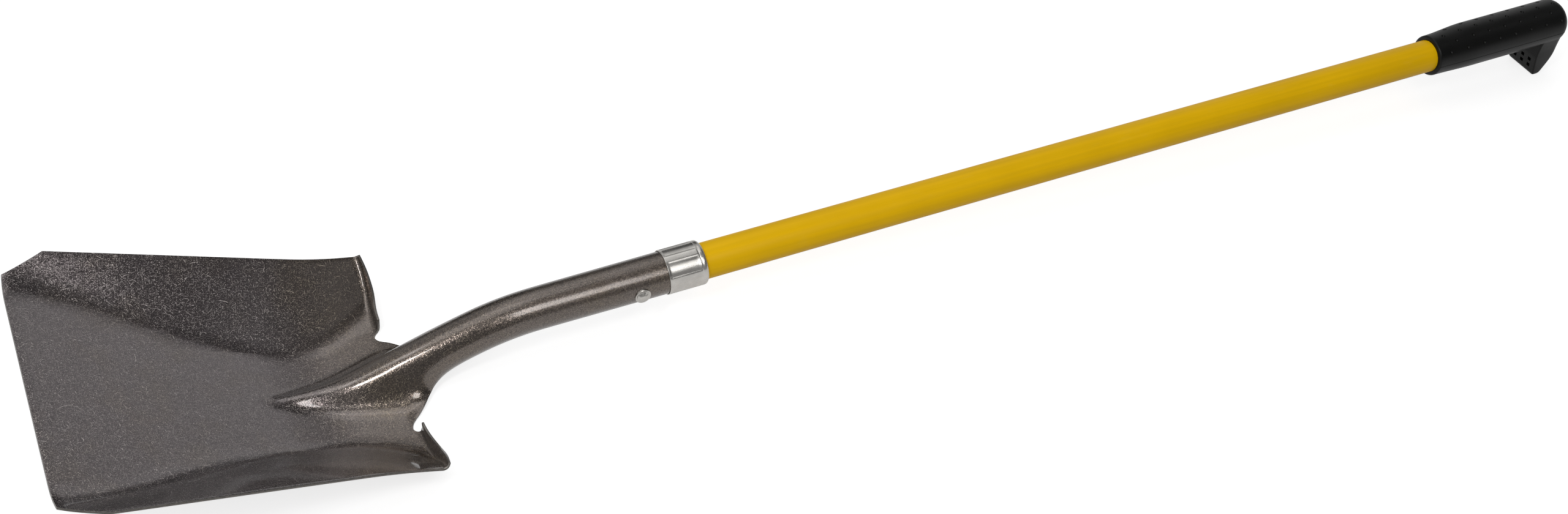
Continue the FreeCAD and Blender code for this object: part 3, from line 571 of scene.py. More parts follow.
def weights(count, samples):
    """Weights of evenly knotted cubic control points at samples from 0 to 1."""
    order = min(3, count - 1)
    spans = count - order
    knots = np.concatenate([np.zeros(order), np.arange(spans + 1), np.full(order, spans)])
    t = np.clip(np.asarray(samples, float) * spans, 0, spans - 1e-9)[:, None]
    found = ((t >= knots[:-1]) & (t < knots[1:])).astype(float)
    for d in range(1, order + 1):
        n = found.shape[1] - 1
        left, right = knots[d:d + n] - knots[:n], knots[d + 1:d + 1 + n] - knots[1:1 + n]
        rise = np.where(left > 0, (t - knots[:n]) / np.where(left > 0, left, 1), 0)
        fall = np.where(right > 0, (knots[d + 1:d + 1 + n] - t) / np.where(right > 0, right, 1), 0)
        found = rise * found[:, :n] + fall * found[:, 1:n + 1]
    return found


def drawn(rows, down, across):
    """Points of the smooth surface that a grid of control points draws."""
    return np.einsum("ui,ijk,vj->uvk", weights(len(rows), down), rows,
                     weights(rows.shape[1], across))


def mirrored(grid):
    """The same rows on the other side, read towards the middle."""
    return grid[:, ::-1] * np.array((1, -1, 1))


def lengths(points):
    """Distance run along a row of points."""
    return np.concatenate([[0], np.cumsum(np.linalg.norm(np.diff(points, axis=0), axis=1))])


def add_grid(mesh, points, along=None, across=None, wrap=False):
    """Add a grid of quads to a bmesh, with its developed lengths as the UV map."""
    rows, columns = points.shape[:2]
    uv = mesh.loops.layers.uv
    layer = (uv.get("UVMap") or uv.new("UVMap")) if along is not None else None
    verts = [[mesh.verts.new(Vector(p)) for p in row] for row in points]
    for i in range(rows - 1):
        for j in range(columns if wrap else columns - 1):
            k = (j + 1) % columns
            face = mesh.faces.new((verts[i][j], verts[i + 1][j], verts[i + 1][k], verts[i][k]))
            face.smooth = True
            if layer:
                for loop, (r, c) in zip(face.loops, ((i, j), (i + 1, j), (i + 1, k), (i, k))):
                    loop[layer].uv = (across[r][c], along[r][c])


def even_angles(segments):
    """Angles all round, from the top."""
    return np.arange(segments) * 2 * math.pi / segments


def lathe(mesh, outline, angles, rise=None, groove=None):
    """Turn an outline of (x, radius) about the handle's centre line; rise lifts a section, and
    groove is a depth for each angle."""
    rows = []
    for k, (x, radius) in enumerate(outline):
        lift = rise[k] if rise is not None else 0.0
        reach = np.maximum(radius - (groove if groove is not None else 0.0), 0.0)
        rows.append(np.stack([np.full(len(angles), x), reach * np.sin(angles),
                              lift + reach * np.cos(angles)], 1))
    add_grid(mesh, np.array(rows), wrap=True)


def arc(centre, radius, first, last, count=8):
    """Points of an arc in an outline, by angles from the X axis in degrees."""
    turns = np.radians(np.linspace(first, last, count))
    return [(centre[0] + radius * math.cos(a), centre[1] + radius * math.sin(a)) for a in turns]


def handle_line():
    """The side view's frame in the row frame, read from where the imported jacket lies."""
    low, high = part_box("handle_jacket")
    s, h = bpy.context.scene.shovel_head, bpy.context.scene.shovel_handle
    end = h.grip_start + h.bore_depth - h.skin_gap - h.end_flange
    long, thick = end - s.handle_tip, 2 * s.handle_radius
    tilt = math.asin((high.z - low.z) / math.hypot(long, thick)) - math.atan2(thick, long)
    start = Vector((low.x + s.handle_radius * math.sin(tilt), 0,
                    low.z + s.handle_radius * math.cos(tilt)))
    return (Matrix.Translation(start) @ Matrix.Rotation(-tilt, 4, "Y")
            @ Matrix.Translation((-s.handle_tip, 0, 0)))


def cut_away(mesh, point, outward):
    """Cut a bmesh by a plane, drop what lies outside it and give back the cut."""
    return bmesh.ops.bisect_plane(mesh, geom=mesh.verts[:] + mesh.edges[:] + mesh.faces[:],
                                  plane_co=Vector(point), plane_no=Vector(outward),
                                  clear_outer=True)["geom_cut"]


def bake(obj):
    """Turn an object's modifiers into a plain mesh."""
    graph = bpy.context.evaluated_depsgraph_get()
    mesh, old = bpy.data.meshes.new_from_object(obj.evaluated_get(graph)), obj.data
    obj.modifiers.clear()
    obj.data = mesh
    bpy.data.meshes.remove(old)


def new_object(name, mesh, materials):
    """Object from a bmesh with its seams closed and its faces outwards."""
    bmesh.ops.remove_doubles(mesh, verts=mesh.verts, dist=MERGE)
    bmesh.ops.recalc_face_normals(mesh, faces=mesh.faces)
    data = bpy.data.meshes.new(name)
    mesh.to_mesh(data)
    mesh.free()
    for material in materials:
        data.materials.append(material)
    obj = bpy.data.objects.new(name, data)
    bpy.context.scene.collection.objects.link(obj)
    return obj


def finish_piece(obj, node, sharp):
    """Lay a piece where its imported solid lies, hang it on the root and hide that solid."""
    obj.data.transform(handle_line())
    obj.data.shade_smooth()
    obj.data.set_sharp_from_angle(angle=math.radians(sharp))
    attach(obj, "root")
    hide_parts(node)


# Materials. A pattern's scale is its number of waves or cells in a metre: 24 makes clouds of
# about 40 mm, 900 a grain of about 1 mm and 1900 facets of about half a millimetre.

def add(tree, kind, inputs=(), **settings):
    """Add a node with its settings. Its inputs, by order or by name, are given values, hex
    colours, or links from a socket or from another node's first output."""
    node = tree.nodes.new(kind)
    for name, value in settings.items():
        setattr(node, name, value)
    for key, value in (inputs if isinstance(inputs, dict) else dict(enumerate(inputs))).items():
        if isinstance(value, bpy.types.Node):
            value = value.outputs[0]
        if isinstance(value, bpy.types.NodeSocket):
            tree.links.new(value, node.inputs[key])
        else:
            node.inputs[key].default_value = linear(value) if isinstance(value, str) else value
    return node


def new_material(name):
    """A material with an empty tree."""
    material = bpy.data.materials.new(name)
    material.use_nodes = True
    material.node_tree.nodes.clear()
    return material, material.node_tree


def close_material(tree, inputs):
    """The shader and the output."""
    shader = add(tree, "ShaderNodeBsdfPrincipled", inputs)
    add(tree, "ShaderNodeOutputMaterial", {"Surface": shader})


def new_group(name, kind, inputs, outputs):
    """A node group's tree, its inputs' identifiers and what its input node gives out."""
    tree = bpy.data.node_groups.new(name, kind)
    found = {}
    for sort, keys in inputs:
        for key in keys:
            found[key] = tree.interface.new_socket(
                key, in_out="INPUT", socket_type="NodeSocket" + sort).identifier
    for sort, key in outputs:
        tree.interface.new_socket(key, in_out="OUTPUT", socket_type="NodeSocket" + sort)
    return tree, found, add(tree, "NodeGroupInput").outputs


def hair_marks():
    """Short curved strokes scattered on a surface, one to a cell, each with its own direction,
    bend, length, tilt and strength."""
    tree, _, given = new_group("hair marks", "ShaderNodeTree",
                               (("Vector", ("Vector",)), ("Float", SCRATCH_SIZES)),
                               (("Float", "Mask"), ("Vector", "Tilt")))
    per_cell = add(tree, "ShaderNodeMath", (1.0, given["Cell"]), operation="DIVIDE")
    scaled = add(tree, "ShaderNodeVectorMath", (given["Vector"], per_cell), operation="MULTIPLY")
    moved = add(tree, "ShaderNodeVectorMath", (scaled, given["Seed"]), operation="ADD")
    cells = add(tree, "ShaderNodeTexVoronoi", {"Vector": moved, "Scale": 1.0},
                voronoi_dimensions="2D").outputs
    chance = add(tree, "ShaderNodeSeparateColor", {0: cells["Color"]}).outputs
    away = add(tree, "ShaderNodeVectorMath", (moved, cells["Position"]), operation="SUBTRACT")
    angle = add(tree, "ShaderNodeMath", (chance[0], 2 * math.pi), operation="MULTIPLY")
    turned = add(tree, "ShaderNodeVectorRotate", {"Vector": away, "Angle": angle},
                 rotation_type="Z_AXIS")
    parts = add(tree, "ShaderNodeSeparateXYZ", {0: turned}).outputs
    lean = add(tree, "ShaderNodeMath", (chance[1], 0.5), operation="SUBTRACT")
    bend = add(tree, "ShaderNodeMath", (lean, given["Bend"]), operation="MULTIPLY")
    squared = add(tree, "ShaderNodeMath", (parts[0], parts[0]), operation="MULTIPLY")
    curve = add(tree, "ShaderNodeMath", (squared, bend), operation="MULTIPLY")
    from_curve = add(tree, "ShaderNodeMath", (parts[1], curve), operation="SUBTRACT")
    across = add(tree, "ShaderNodeMath", (from_curve,), operation="ABSOLUTE")
    line = add(tree, "ShaderNodeMapRange", (across, 0.0, given["Width"], 1.0, 0.0),
               interpolation_type="SMOOTHSTEP")
    share = add(tree, "ShaderNodeMath", (chance[2], 0.25), operation="ADD")
    reach = add(tree, "ShaderNodeMath", (share, given["Length"]), operation="MULTIPLY")
    fade = add(tree, "ShaderNodeMath", (reach, 0.6), operation="MULTIPLY")
    along = add(tree, "ShaderNodeMath", (parts[0],), operation="ABSOLUTE")
    cap = add(tree, "ShaderNodeMapRange", (along, fade, reach, 1.0, 0.0))
    strength = add(tree, "ShaderNodeMapRange", (chance[1], 0.0, given["Kept"], 1.0, 0.0))
    stroke = add(tree, "ShaderNodeMath", (line, cap), operation="MULTIPLY")
    mask = add(tree, "ShaderNodeMath", (stroke, strength), operation="MULTIPLY")
    tilt = add(tree, "ShaderNodeVectorMath", (cells["Color"], (0.5, 0.5, 0.5)),
               operation="SUBTRACT")
    masked = add(tree, "ShaderNodeVectorMath", (tilt, mask), operation="MULTIPLY")
    add(tree, "NodeGroupOutput", {0: mask, 1: masked})
    return tree


def lacquered_steel(sizes):
    """Tempered carbon steel, pressed hot, tumbled and dipped in clear lacquer. The heat scale
    leaves it dark grey with brown clouds, browner and duller towards the socket, and the lacquer
    mirrors the room. The tumbling covers it in short curled hair-fine scratches and half-millimetre
    facets that each catch the light from another side, so it sparkles most around the highlights.
    The scratches are really 0.1 mm wide and are drawn 0.3 mm wide so that they show."""
    material, tree = new_material("Lacquered tempered steel, tumbled")
    place = add(tree, "ShaderNodeTexCoord").outputs["Object"]
    uv = add(tree, "ShaderNodeUVMap", uv_map="UVMap")
    group, marks, tilts = hair_marks(), 0.0, (0.0, 0.0, 0.0)
    for layer in SCRATCH_LAYERS:
        drawn = add(tree, "ShaderNodeGroup", {"Vector": uv} | dict(zip(SCRATCH_SIZES, layer)),
                    node_tree=group).outputs
        marks = add(tree, "ShaderNodeMath", (marks, drawn[0]), operation="MAXIMUM")
        tilts = add(tree, "ShaderNodeVectorMath", (tilts, drawn[1]), operation="ADD")
    # Metres along the shovel over which the brown scale and then the dull lacquer come in
    along = add(tree, "ShaderNodeSeparateXYZ", {0: place})
    frogward = add(tree, "ShaderNodeMapRange", (along, -0.58, -0.48, 0.0, 0.75),
                   interpolation_type="SMOOTHSTEP")
    socketward = add(tree, "ShaderNodeMapRange", (along, -0.43, -0.33, 0.0, 0.14),
                     interpolation_type="SMOOTHSTEP")
    cloud = add(tree, "ShaderNodeTexNoise",
                {"Vector": place, "Scale": 24.0, "Detail": 4.0, "Roughness": 0.6})
    clouds = add(tree, "ShaderNodeMapRange", (cloud, 0.5, 0.68, 0.0, 0.28))
    brown = add(tree, "ShaderNodeMath", (frogward, clouds), operation="ADD", use_clamp=True)
    base = add(tree, "ShaderNodeMix", {0: brown, 6: sizes.steel, 7: sizes.scale_tint},
               data_type="RGBA").outputs[2]
    mottle = add(tree, "ShaderNodeTexNoise",
                 {"Vector": place, "Scale": 900.0, "Detail": 3.0, "Roughness": 0.7})
    level = add(tree, "ShaderNodeMapRange", (mottle, 0.32, 0.68, 0.45, 1.65))
    grained = add(tree, "ShaderNodeMix", {0: 1.0, 6: base, 7: level}, data_type="RGBA",
                  blend_type="MULTIPLY").outputs[2]
    bright = add(tree, "ShaderNodeMix", {0: brown, 6: sizes.fleck, 7: sizes.fleck_tint},
                 data_type="RGBA").outputs[2]
    thinned = add(tree, "ShaderNodeMath", (1.35, frogward), operation="SUBTRACT")
    shown = add(tree, "ShaderNodeMath", (marks, thinned), operation="MULTIPLY", use_clamp=True)
    marked = add(tree, "ShaderNodeMix", {0: shown, 6: grained, 7: bright},
                 data_type="RGBA").outputs[2]
    polish = add(tree, "ShaderNodeMapRange", (marks, 0.0, 0.5, 0.17, 0.34))
    rough = add(tree, "ShaderNodeMath", (polish, socketward), operation="ADD")
    gloss = add(tree, "ShaderNodeMath", (socketward, 0.05), operation="ADD")
    facing = add(tree, "ShaderNodeNewGeometry").outputs["Normal"]
    grains = add(tree, "ShaderNodeTexVoronoi", {"Vector": uv, "Scale": 1900.0},
                 voronoi_dimensions="2D").outputs
    facets = add(tree, "ShaderNodeVectorMath", (grains["Color"], (0.5, 0.5, 0.5)),
                 operation="SUBTRACT")
    scratched = add(tree, "ShaderNodeVectorMath", (tilts, (SCRATCH_TILT,) * 3, facing),
                    operation="MULTIPLY_ADD")
    rippled = add(tree, "ShaderNodeVectorMath", (facets, (FACET_TILT,) * 3, scratched),
                  operation="MULTIPLY_ADD")
    tilted = add(tree, "ShaderNodeVectorMath", (rippled,), operation="NORMALIZE")
    dents = add(tree, "ShaderNodeTexNoise", {"Vector": place, "Scale": 45.0, "Detail": 1.0})
    waves = add(tree, "ShaderNodeBump", {"Height": dents, "Strength": 0.3, "Distance": 0.0006})
    close_material(tree,
                   {"Base Color": marked, "Metallic": 0.9, "Roughness": rough, "Normal": tilted,
                    "Coat Weight": 1.0, "Coat Roughness": gloss, "Coat Normal": waves})
    return material


def sheared_edge_painted_highlight():
    """Sheared edge of the sheet under the same lacquer, a little torn. Its brighter colour is a
    painted highlight, which draws a thin pale line around the head."""
    material, tree = new_material("Sheared steel edge, painted highlight")
    place = add(tree, "ShaderNodeTexCoord").outputs["Object"]
    tear = add(tree, "ShaderNodeTexNoise", {"Vector": place, "Scale": 500.0, "Detail": 2.0})
    # The pale colour here is a painted highlight along the sheet's rim
    shade = add(tree, "ShaderNodeMix", {0: tear, 6: "#8f8b86", 7: "#5d5955"},
                data_type="RGBA").outputs[2]
    torn = add(tree, "ShaderNodeBump", {"Height": tear, "Strength": 0.4, "Distance": 0.0002})
    close_material(tree,
                   {"Base Color": shade, "Metallic": 0.9, "Roughness": 0.38, "Normal": torn,
                    "Coat Weight": 0.4, "Coat Roughness": 0.15})
    return material


def bright_zinc(sizes, name, roughness, hammer):
    """Bright electroplated zinc on mild steel: pale and smooth, with fine tool marks lengthwise."""
    material, tree = new_material(name)
    place = add(tree, "ShaderNodeTexCoord").outputs["Object"]
    streak_place = add(tree, "ShaderNodeMapping", {"Vector": place, "Scale": (40.0, 400.0, 400.0)})
    streak = add(tree, "ShaderNodeTexNoise", {"Vector": streak_place, "Scale": 1.0, "Detail": 3.0})
    cloud = add(tree, "ShaderNodeTexNoise", {"Vector": place, "Scale": 120.0, "Detail": 3.0})
    shade = add(tree, "ShaderNodeMix", {0: cloud, 6: sizes.zinc, 7: "#b8b5b0"},
                data_type="RGBA").outputs[2]
    rough = add(tree, "ShaderNodeMapRange", (streak, 0.3, 0.7, roughness, roughness + 0.14))
    height = add(tree, "ShaderNodeMath", (cloud, hammer, streak), operation="MULTIPLY_ADD")
    marked = add(tree, "ShaderNodeBump", {"Height": height, "Strength": 0.3, "Distance": 0.0002})
    close_material(tree,
                   {"Base Color": shade, "Metallic": 1.0, "Roughness": rough, "Normal": marked})
    return material


def extruded_jacket(sizes):
    """Polypropylene jacket extruded over the tube: an even deep yellow with a soft satin sheen,
    faint lines along the draw and a few pale rubs."""
    material, tree = new_material("Extruded polypropylene, yellow")
    place = add(tree, "ShaderNodeTexCoord").outputs["Object"]
    line_place = add(tree, "ShaderNodeMapping", {"Vector": place, "Scale": (3.0, 260.0, 260.0)})
    line = add(tree, "ShaderNodeTexNoise", {"Vector": line_place, "Scale": 1.0, "Detail": 3.0})
    cloud = add(tree, "ShaderNodeTexNoise", {"Vector": place, "Scale": 14.0, "Detail": 3.0})
    rub_place = add(tree, "ShaderNodeMapping", {"Vector": place, "Scale": (25.0, 90.0, 90.0)})
    rub = add(tree, "ShaderNodeTexNoise", {"Vector": rub_place, "Scale": 1.0, "Detail": 5.0,
                                        "Roughness": 0.7})
    rubbed = add(tree, "ShaderNodeMapRange", (rub, 0.6, 0.78, 0.0, 0.18))
    tone = add(tree, "ShaderNodeMath", (line, cloud), operation="ADD")
    level = add(tree, "ShaderNodeMapRange", (tone, 0.7, 1.3, 0.93, 1.05))
    base = add(tree, "ShaderNodeMix", {0: 1.0, 6: sizes.yellow, 7: level}, data_type="RGBA",
               blend_type="MULTIPLY").outputs[2]
    worn = add(tree, "ShaderNodeMix", {0: rubbed, 6: base, 7: "#f0c84c"},
               data_type="RGBA").outputs[2]
    rough = add(tree, "ShaderNodeMapRange", (rub, 0.3, 0.8, 0.34, 0.52))
    ribbed = add(tree, "ShaderNodeBump", {"Height": line, "Strength": 0.15, "Distance": 0.0003})
    close_material(tree,
                   {"Base Color": worn, "Roughness": rough, "IOR": 1.49, "Specular IOR Level": 0.16,
                    "Normal": ribbed})
    return material


def moulded_grip(sizes):
    """Injection moulded polypropylene, black: the mould's fine spark-eroded texture breaks up the
    sheen, so it looks satin, with slightly glossier patches where hands rub it."""
    material, tree = new_material("Moulded polypropylene, black")
    place = add(tree, "ShaderNodeTexCoord").outputs["Object"]
    pores = add(tree, "ShaderNodeTexNoise", {"Vector": place, "Scale": 1400.0, "Detail": 2.0})
    cloud = add(tree, "ShaderNodeTexNoise", {"Vector": place, "Scale": 30.0, "Detail": 4.0})
    base = add(tree, "ShaderNodeMix", {0: cloud, 6: sizes.black, 7: "#0e0e0d"},
               data_type="RGBA").outputs[2]
    rough = add(tree, "ShaderNodeMapRange", (cloud, 0.3, 0.7, 0.32, 0.42))
    eroded = add(tree, "ShaderNodeBump", {"Height": pores, "Strength": 0.25, "Distance": 0.0001})
    close_material(tree,
                   {"Base Color": base, "Roughness": rough, "IOR": 1.49, "Specular IOR Level": 0.26,
                    "Normal": eroded})
    return material


def pultruded_glass():
    """Pultruded glass fibre and polyester: pale green-cream with the roving's lines lengthwise."""
    material, tree = new_material("Pultruded glass fibre")
    place = add(tree, "ShaderNodeTexCoord").outputs["Object"]
    roving_place = add(tree, "ShaderNodeMapping", {"Vector": place, "Scale": (8.0, 900.0, 900.0)})
    roving = add(tree, "ShaderNodeTexNoise", {"Vector": roving_place, "Scale": 1.0, "Detail": 4.0})
    base = add(tree, "ShaderNodeMix", {0: roving, 6: "#d8d3b4", 7: "#aeb08c"},
               data_type="RGBA").outputs[2]
    ribbed = add(tree, "ShaderNodeBump", {"Height": roving, "Strength": 0.3, "Distance": 0.0002})
    close_material(tree, {"Base Color": base, "Roughness": 0.45, "IOR": 1.55, "Normal": ribbed})
    return material


def turned_beech():
    """Turned beech: pink-brown with short dark flecks along the grain."""
    material, tree = new_material("Turned beech")
    place = add(tree, "ShaderNodeTexCoord").outputs["Object"]
    fleck_place = add(tree, "ShaderNodeMapping", {"Vector": place, "Scale": (90.0, 900.0, 900.0)})
    fleck = add(tree, "ShaderNodeTexNoise", {"Vector": fleck_place, "Scale": 1.0, "Detail": 2.0})
    dark = add(tree, "ShaderNodeMapRange", (fleck, 0.6, 0.7, 0.0, 1.0))
    base = add(tree, "ShaderNodeMix", {0: dark, 6: "#c89a6a", 7: "#8f6238"},
               data_type="RGBA").outputs[2]
    close_material(tree, {"Base Color": base, "Roughness": 0.6})
    return material


def moulded_plug():
    """Moulded polyethylene, natural grey: waxy, with a faint mould texture."""
    material, tree = new_material("Moulded polyethylene")
    place = add(tree, "ShaderNodeTexCoord").outputs["Object"]
    wax = add(tree, "ShaderNodeTexNoise", {"Vector": place, "Scale": 200.0, "Detail": 3.0})
    base = add(tree, "ShaderNodeMix", {0: wax, 6: "#9a9a96", 7: "#84847f"},
               data_type="RGBA").outputs[2]
    close_material(tree, {"Base Color": base, "Roughness": 0.5, "IOR": 1.51})
    return material


# Pieces

def head_grids(sizes):
    """The sheet's upper face as grids of points, with their developed lengths."""
    shape = HeadShape(sizes)
    centre_half, strip, wall, tongue_half = shape.control_rows()
    down, along_tongue, over, across_strip, up_wall = (
        np.linspace(0, 1, count) for count in (FLOOR_POINTS, TONGUE_POINTS, CENTRE_POINTS,
                                               STRIP_POINTS, WALL_POINTS))
    up_step = np.concatenate([np.linspace(0, STEP_BEND_END, STEP_POINTS), STEP_TOP])
    step = drawn(shape.step_rows(wall[-1], wall[-2]), up_step, up_wall)
    centre, tongue = (drawn(np.concatenate([mirrored(half)[:, :-1], half], 1), along, over)
                      for half, along in ((centre_half, down), (tongue_half, along_tongue)))
    strip, wall = drawn(strip, down, across_strip), drawn(wall, down, up_wall)
    half = len(strip[-1]) // 2
    webs = [notch_web(strip[-1][half:], step[:, 0], sizes.step_bend * sizes.step_angle),
            notch_web(strip[-1][half::-1], tongue[:, -1], sizes.notch_strip / 2)]
    return centre, strip, wall, step, tongue, webs


def notch_web(edge, profile, bent):
    """Sheet beside the relief notch: from the strip's middle its end turns into a neighbour's edge,
    on a quarter round."""
    run = lengths(profile)
    last = np.searchsorted(run, bent) + 1
    reach = 1 - np.sqrt(1 - np.linspace(0, 1, len(edge)) ** 2)
    web = np.empty((last, len(edge), 3))
    for k, point in enumerate(edge):
        for axis in range(3):
            risen = np.interp(run[:last] * reach[k], run, profile[:, axis])
            web[:, k, axis] = point[axis] + risen - profile[0, axis]
    return web


def developed(grid, start=0.0):
    """Developed lengths over a grid, along its first column from a start and across each row."""
    along = np.repeat((start + lengths(grid[:, 0]))[:, None], grid.shape[1], 1)
    return along, np.array([lengths(row) for row in grid])


class PressedHead(bpy.types.Operator):
    """Make the head: floor, walls, steps, frog and socket, as one pressing"""
    bl_idname = "shovel.pressed_head"
    bl_label = "Pressed head"

    def execute(self, context):
        """Draw the sheet's upper face, cut the mouth corners and thicken it."""
        s = context.scene.shovel_head
        centre, strip, wall, step, tongue, webs = head_grids(s)
        mesh = bmesh.new()
        half = (centre.shape[1] - 1) // 2
        along, across = developed(centre)
        across = across - across[:, half:half + 1]
        add_grid(mesh, centre, along, across)
        rear = along[-1, 0]
        tongue_along, tongue_across = developed(tongue, rear)
        add_grid(mesh, tongue, tongue_along, tongue_across - tongue_across[:, half:half + 1])
        for side in (1, -1):
            hand = np.array((1, side, 1))
            strip_across = across[:, -1:] + developed(strip)[1]
            wall_across = strip_across[:, -1:] + developed(wall)[1]
            add_grid(mesh, strip * hand, along[:, :1].repeat(strip.shape[1], 1),
                     strip_across * side)
            add_grid(mesh, wall * hand, along[:, :1].repeat(wall.shape[1], 1), wall_across * side)
            step_along = developed(step, rear)[0]
            add_grid(mesh, step * hand, step_along,
                     np.repeat(wall_across[-1:] * side, len(step), 0))
            middle = strip.shape[1] // 2
            for web, over in zip(webs, (strip_across[-1, middle:], strip_across[-1, middle::-1])):
                add_grid(mesh, web * hand, rear + developed(web[:, ::-1])[0],
                         over[None].repeat(len(web), 0) * side)
        bmesh.ops.remove_doubles(mesh, verts=mesh.verts, dist=MERGE_GRIDS)
        self.cut_corners(mesh, s)
        obj = new_object("pressed_head", mesh, [lacquered_steel(s), sheared_edge_painted_highlight()])
        if self.faces_down(obj):
            obj.data.flip_normals()
        self.thicken(obj, s)
        finish_piece(obj, "blade", sharp=50)
        return {"FINISHED"}

    def faces_down(self, obj):
        """Whether the sheet's face looks down instead of up."""
        return sum(p.normal.z * p.area for p in obj.data.polygons) < 0

    def cut_corners(self, mesh, s):
        """Cut the mouth corners off along a slant."""
        shape = HeadShape(s)
        top_half, _ = shape.wall_top(s.chamfer_length)
        ahead = shape.from_floor(1, 0, 0) - shape.from_floor(0, 0, 0)
        for side in (1, -1):
            start = shape.from_floor(0, side * s.mouth_half, 0)
            outward = np.array((0, side * s.chamfer_length, 0)) - ahead * (top_half - s.mouth_half)
            cut_away(mesh, start, outward)

    def thicken(self, obj, s):
        """Give the sheet its thickness and soften its sheared edges."""
        solid = obj.modifiers.new("sheet", "SOLIDIFY")
        solid.thickness = s.sheet
        solid.offset = -1
        solid.use_even_offset = True
        solid.use_quality_normals = True
        # The rim gets the sheared edge's material, whose pale colour is a painted highlight
        solid.material_offset_rim = 1
        bevel = obj.modifiers.new("edge", "BEVEL")
        bevel.width = s.edge_round
        bevel.segments = 2
        bevel.limit_method = "ANGLE"
        bevel.angle_limit = math.radians(HEAD_EDGE_ANGLE)
        bake(obj)


class Collar(bpy.types.Operator):
    """Make the zinc collar with its crimped panels and ring groove"""
    bl_idname = "shovel.collar"
    bl_label = "Collar"

    def execute(self, context):
        """Turn the ring, pressing its panels in."""
        s, c = context.scene.shovel_head, context.scene.shovel_collar
        inner = HeadShape(s).socket_outside(s.socket_end) + c.fit
        outer, mouth = inner + c.wall, s.handle_radius + c.fit
        bend, groove = c.end - c.lip, c.end - c.groove_at
        lip, round_edge = outer - c.lip, c.wall / 2
        outline = arc((c.start + round_edge, outer - round_edge), round_edge, 180, 90, 5)
        flat = np.linspace(c.start + round_edge * 2, groove - c.groove_width, 40)
        outline += [(x, outer) for x in flat]
        dips = np.linspace(-0.5, 0.5, 9)
        outline += [(groove + c.groove_width * d,
                     outer - c.groove_depth * math.cos(math.pi * d) ** 2) for d in dips]
        outline += arc((bend, lip), c.lip, 90, 0, 10)
        outline += [(c.end, mouth), (c.end - c.wall, mouth)]
        outline += arc((bend, lip), c.lip - c.wall, 0, 90, 8)
        outline += [(c.start + round_edge * 2, inner)]
        outline += arc((c.start + round_edge, outer - round_edge), round_edge, 270, 180, 4)[:-1]
        outline.append(outline[0])
        mesh = bmesh.new()
        lathe(mesh, outline, even_angles(COLLAR_SEGMENTS))
        for vert in mesh.verts:
            self.press(vert, c, outer)
        obj = new_object("crimped_collar", mesh,
                         [bright_zinc(c, "Bright zinc plate, pressed", 0.20, 0.3)])
        finish_piece(obj, "collar", sharp=40)
        return {"FINISHED"}

    def press(self, vert, c, outer):
        """Push a point in where a crimped panel lies."""
        radius = math.hypot(vert.co.y, vert.co.z)
        if radius < outer - c.wall * PANEL_INTO:
            return
        angle = math.atan2(vert.co.y, vert.co.z) / (2 * math.pi) * c.panels + PANEL_TURN
        across = abs((angle % 1) - 0.5) * 2
        middle = c.start + (c.end - c.start - c.groove_at) / 2
        along = (vert.co.x - middle) / (PANEL_LONG * (c.end - c.start))
        inside = 1 - max(across / PANEL_WIDE, abs(along))
        depth = c.panel_depth * ease(min(max(inside / PANEL_SLOPE, 0), 1))
        share = (radius - depth) / radius
        vert.co.y *= share
        vert.co.z *= share


class Rivet(bpy.types.Operator):
    """Make the rivet with its two peened heads, and the washer under the near one"""
    bl_idname = "shovel.rivet"
    bl_label = "Rivet and washer"

    def execute(self, context):
        """Turn the rivet about its own axis and stand it across the socket."""
        s, c = context.scene.shovel_head, context.scene.shovel_collar
        gap = context.scene.shovel_handle.skin_gap
        tube = HeadShape(s).socket_outside(c.rivet_at)
        near, far = tube + c.washer_thickness + gap, tube + gap
        lay = Matrix.Translation((c.rivet_at, 0, -c.rivet_drop)) @ Matrix.Rotation(
            math.radians(-90), 4, "Z")
        rise, wide = c.head_height, c.head_radius
        dome = (wide ** 2 + rise ** 2) / (2 * rise)
        swing = math.degrees(math.asin(wide / dome))
        top = arc((near + rise - dome, 0), dome, 0, swing, 12)
        bottom = arc((-far - rise + dome, 0), dome, 180 - swing, 180, 12)
        outline = top[:-1] + [(near + RIVET_EDGE, wide), (near, wide - RIVET_EDGE),
                              (near, c.rivet_radius), (-far, c.rivet_radius),
                              (-far, wide - RIVET_EDGE), (-far - RIVET_EDGE, wide)]
        outline += bottom[1:]
        mesh = bmesh.new()
        lathe(mesh, outline, even_angles(RIVET_SEGMENTS))
        hits = np.random.default_rng(5).uniform(-1, 1, (HITS, 2)) * HIT_SPREAD
        for vert in mesh.verts:
            if vert.co.x > near + RIVET_EDGE:
                for y, z in hits:
                    away = math.hypot(vert.co.y / wide - y, vert.co.z / wide - z)
                    vert.co.x -= HIT_DEPTH * math.exp(-(away / HIT_WIDTH) ** 2)
        bmesh.ops.transform(mesh, matrix=lay, verts=mesh.verts)
        obj = new_object("peened_rivet", mesh,
                         [bright_zinc(c, "Bright zinc plate, peened", 0.24, 2.0)])
        finish_piece(obj, "rivet", sharp=50)
        self.washer(s, c, tube, gap)
        return {"FINISHED"}

    def washer(self, s, c, tube, gap):
        """Ring that bears on the round of the socket."""
        inner, outer, top = c.rivet_radius + gap, c.washer_radius, tube + c.washer_thickness
        shape, rings = HeadShape(s), []
        for radius, height in ((inner, None), (inner, top), (outer - RIVET_EDGE, top),
                               (outer, top - RIVET_EDGE), (outer, None), (inner, None)):
            ring = []
            for a in even_angles(WASHER_SEGMENTS):
                x, z = c.rivet_at + radius * math.cos(a), -c.rivet_drop + radius * math.sin(a)
                bears = math.sqrt((shape.socket_outside(x) + gap) ** 2 - z * z)
                ring.append((x, -(bears if height is None else height), z))
            rings.append(ring)
        mesh = bmesh.new()
        add_grid(mesh, np.array(rings), wrap=True)
        obj = new_object("rivet_seat_washer", mesh,
                         [bright_zinc(c, "Bright zinc plate, stamped", 0.26, 0.6)])
        finish_piece(obj, "rivet_washer", sharp=40)


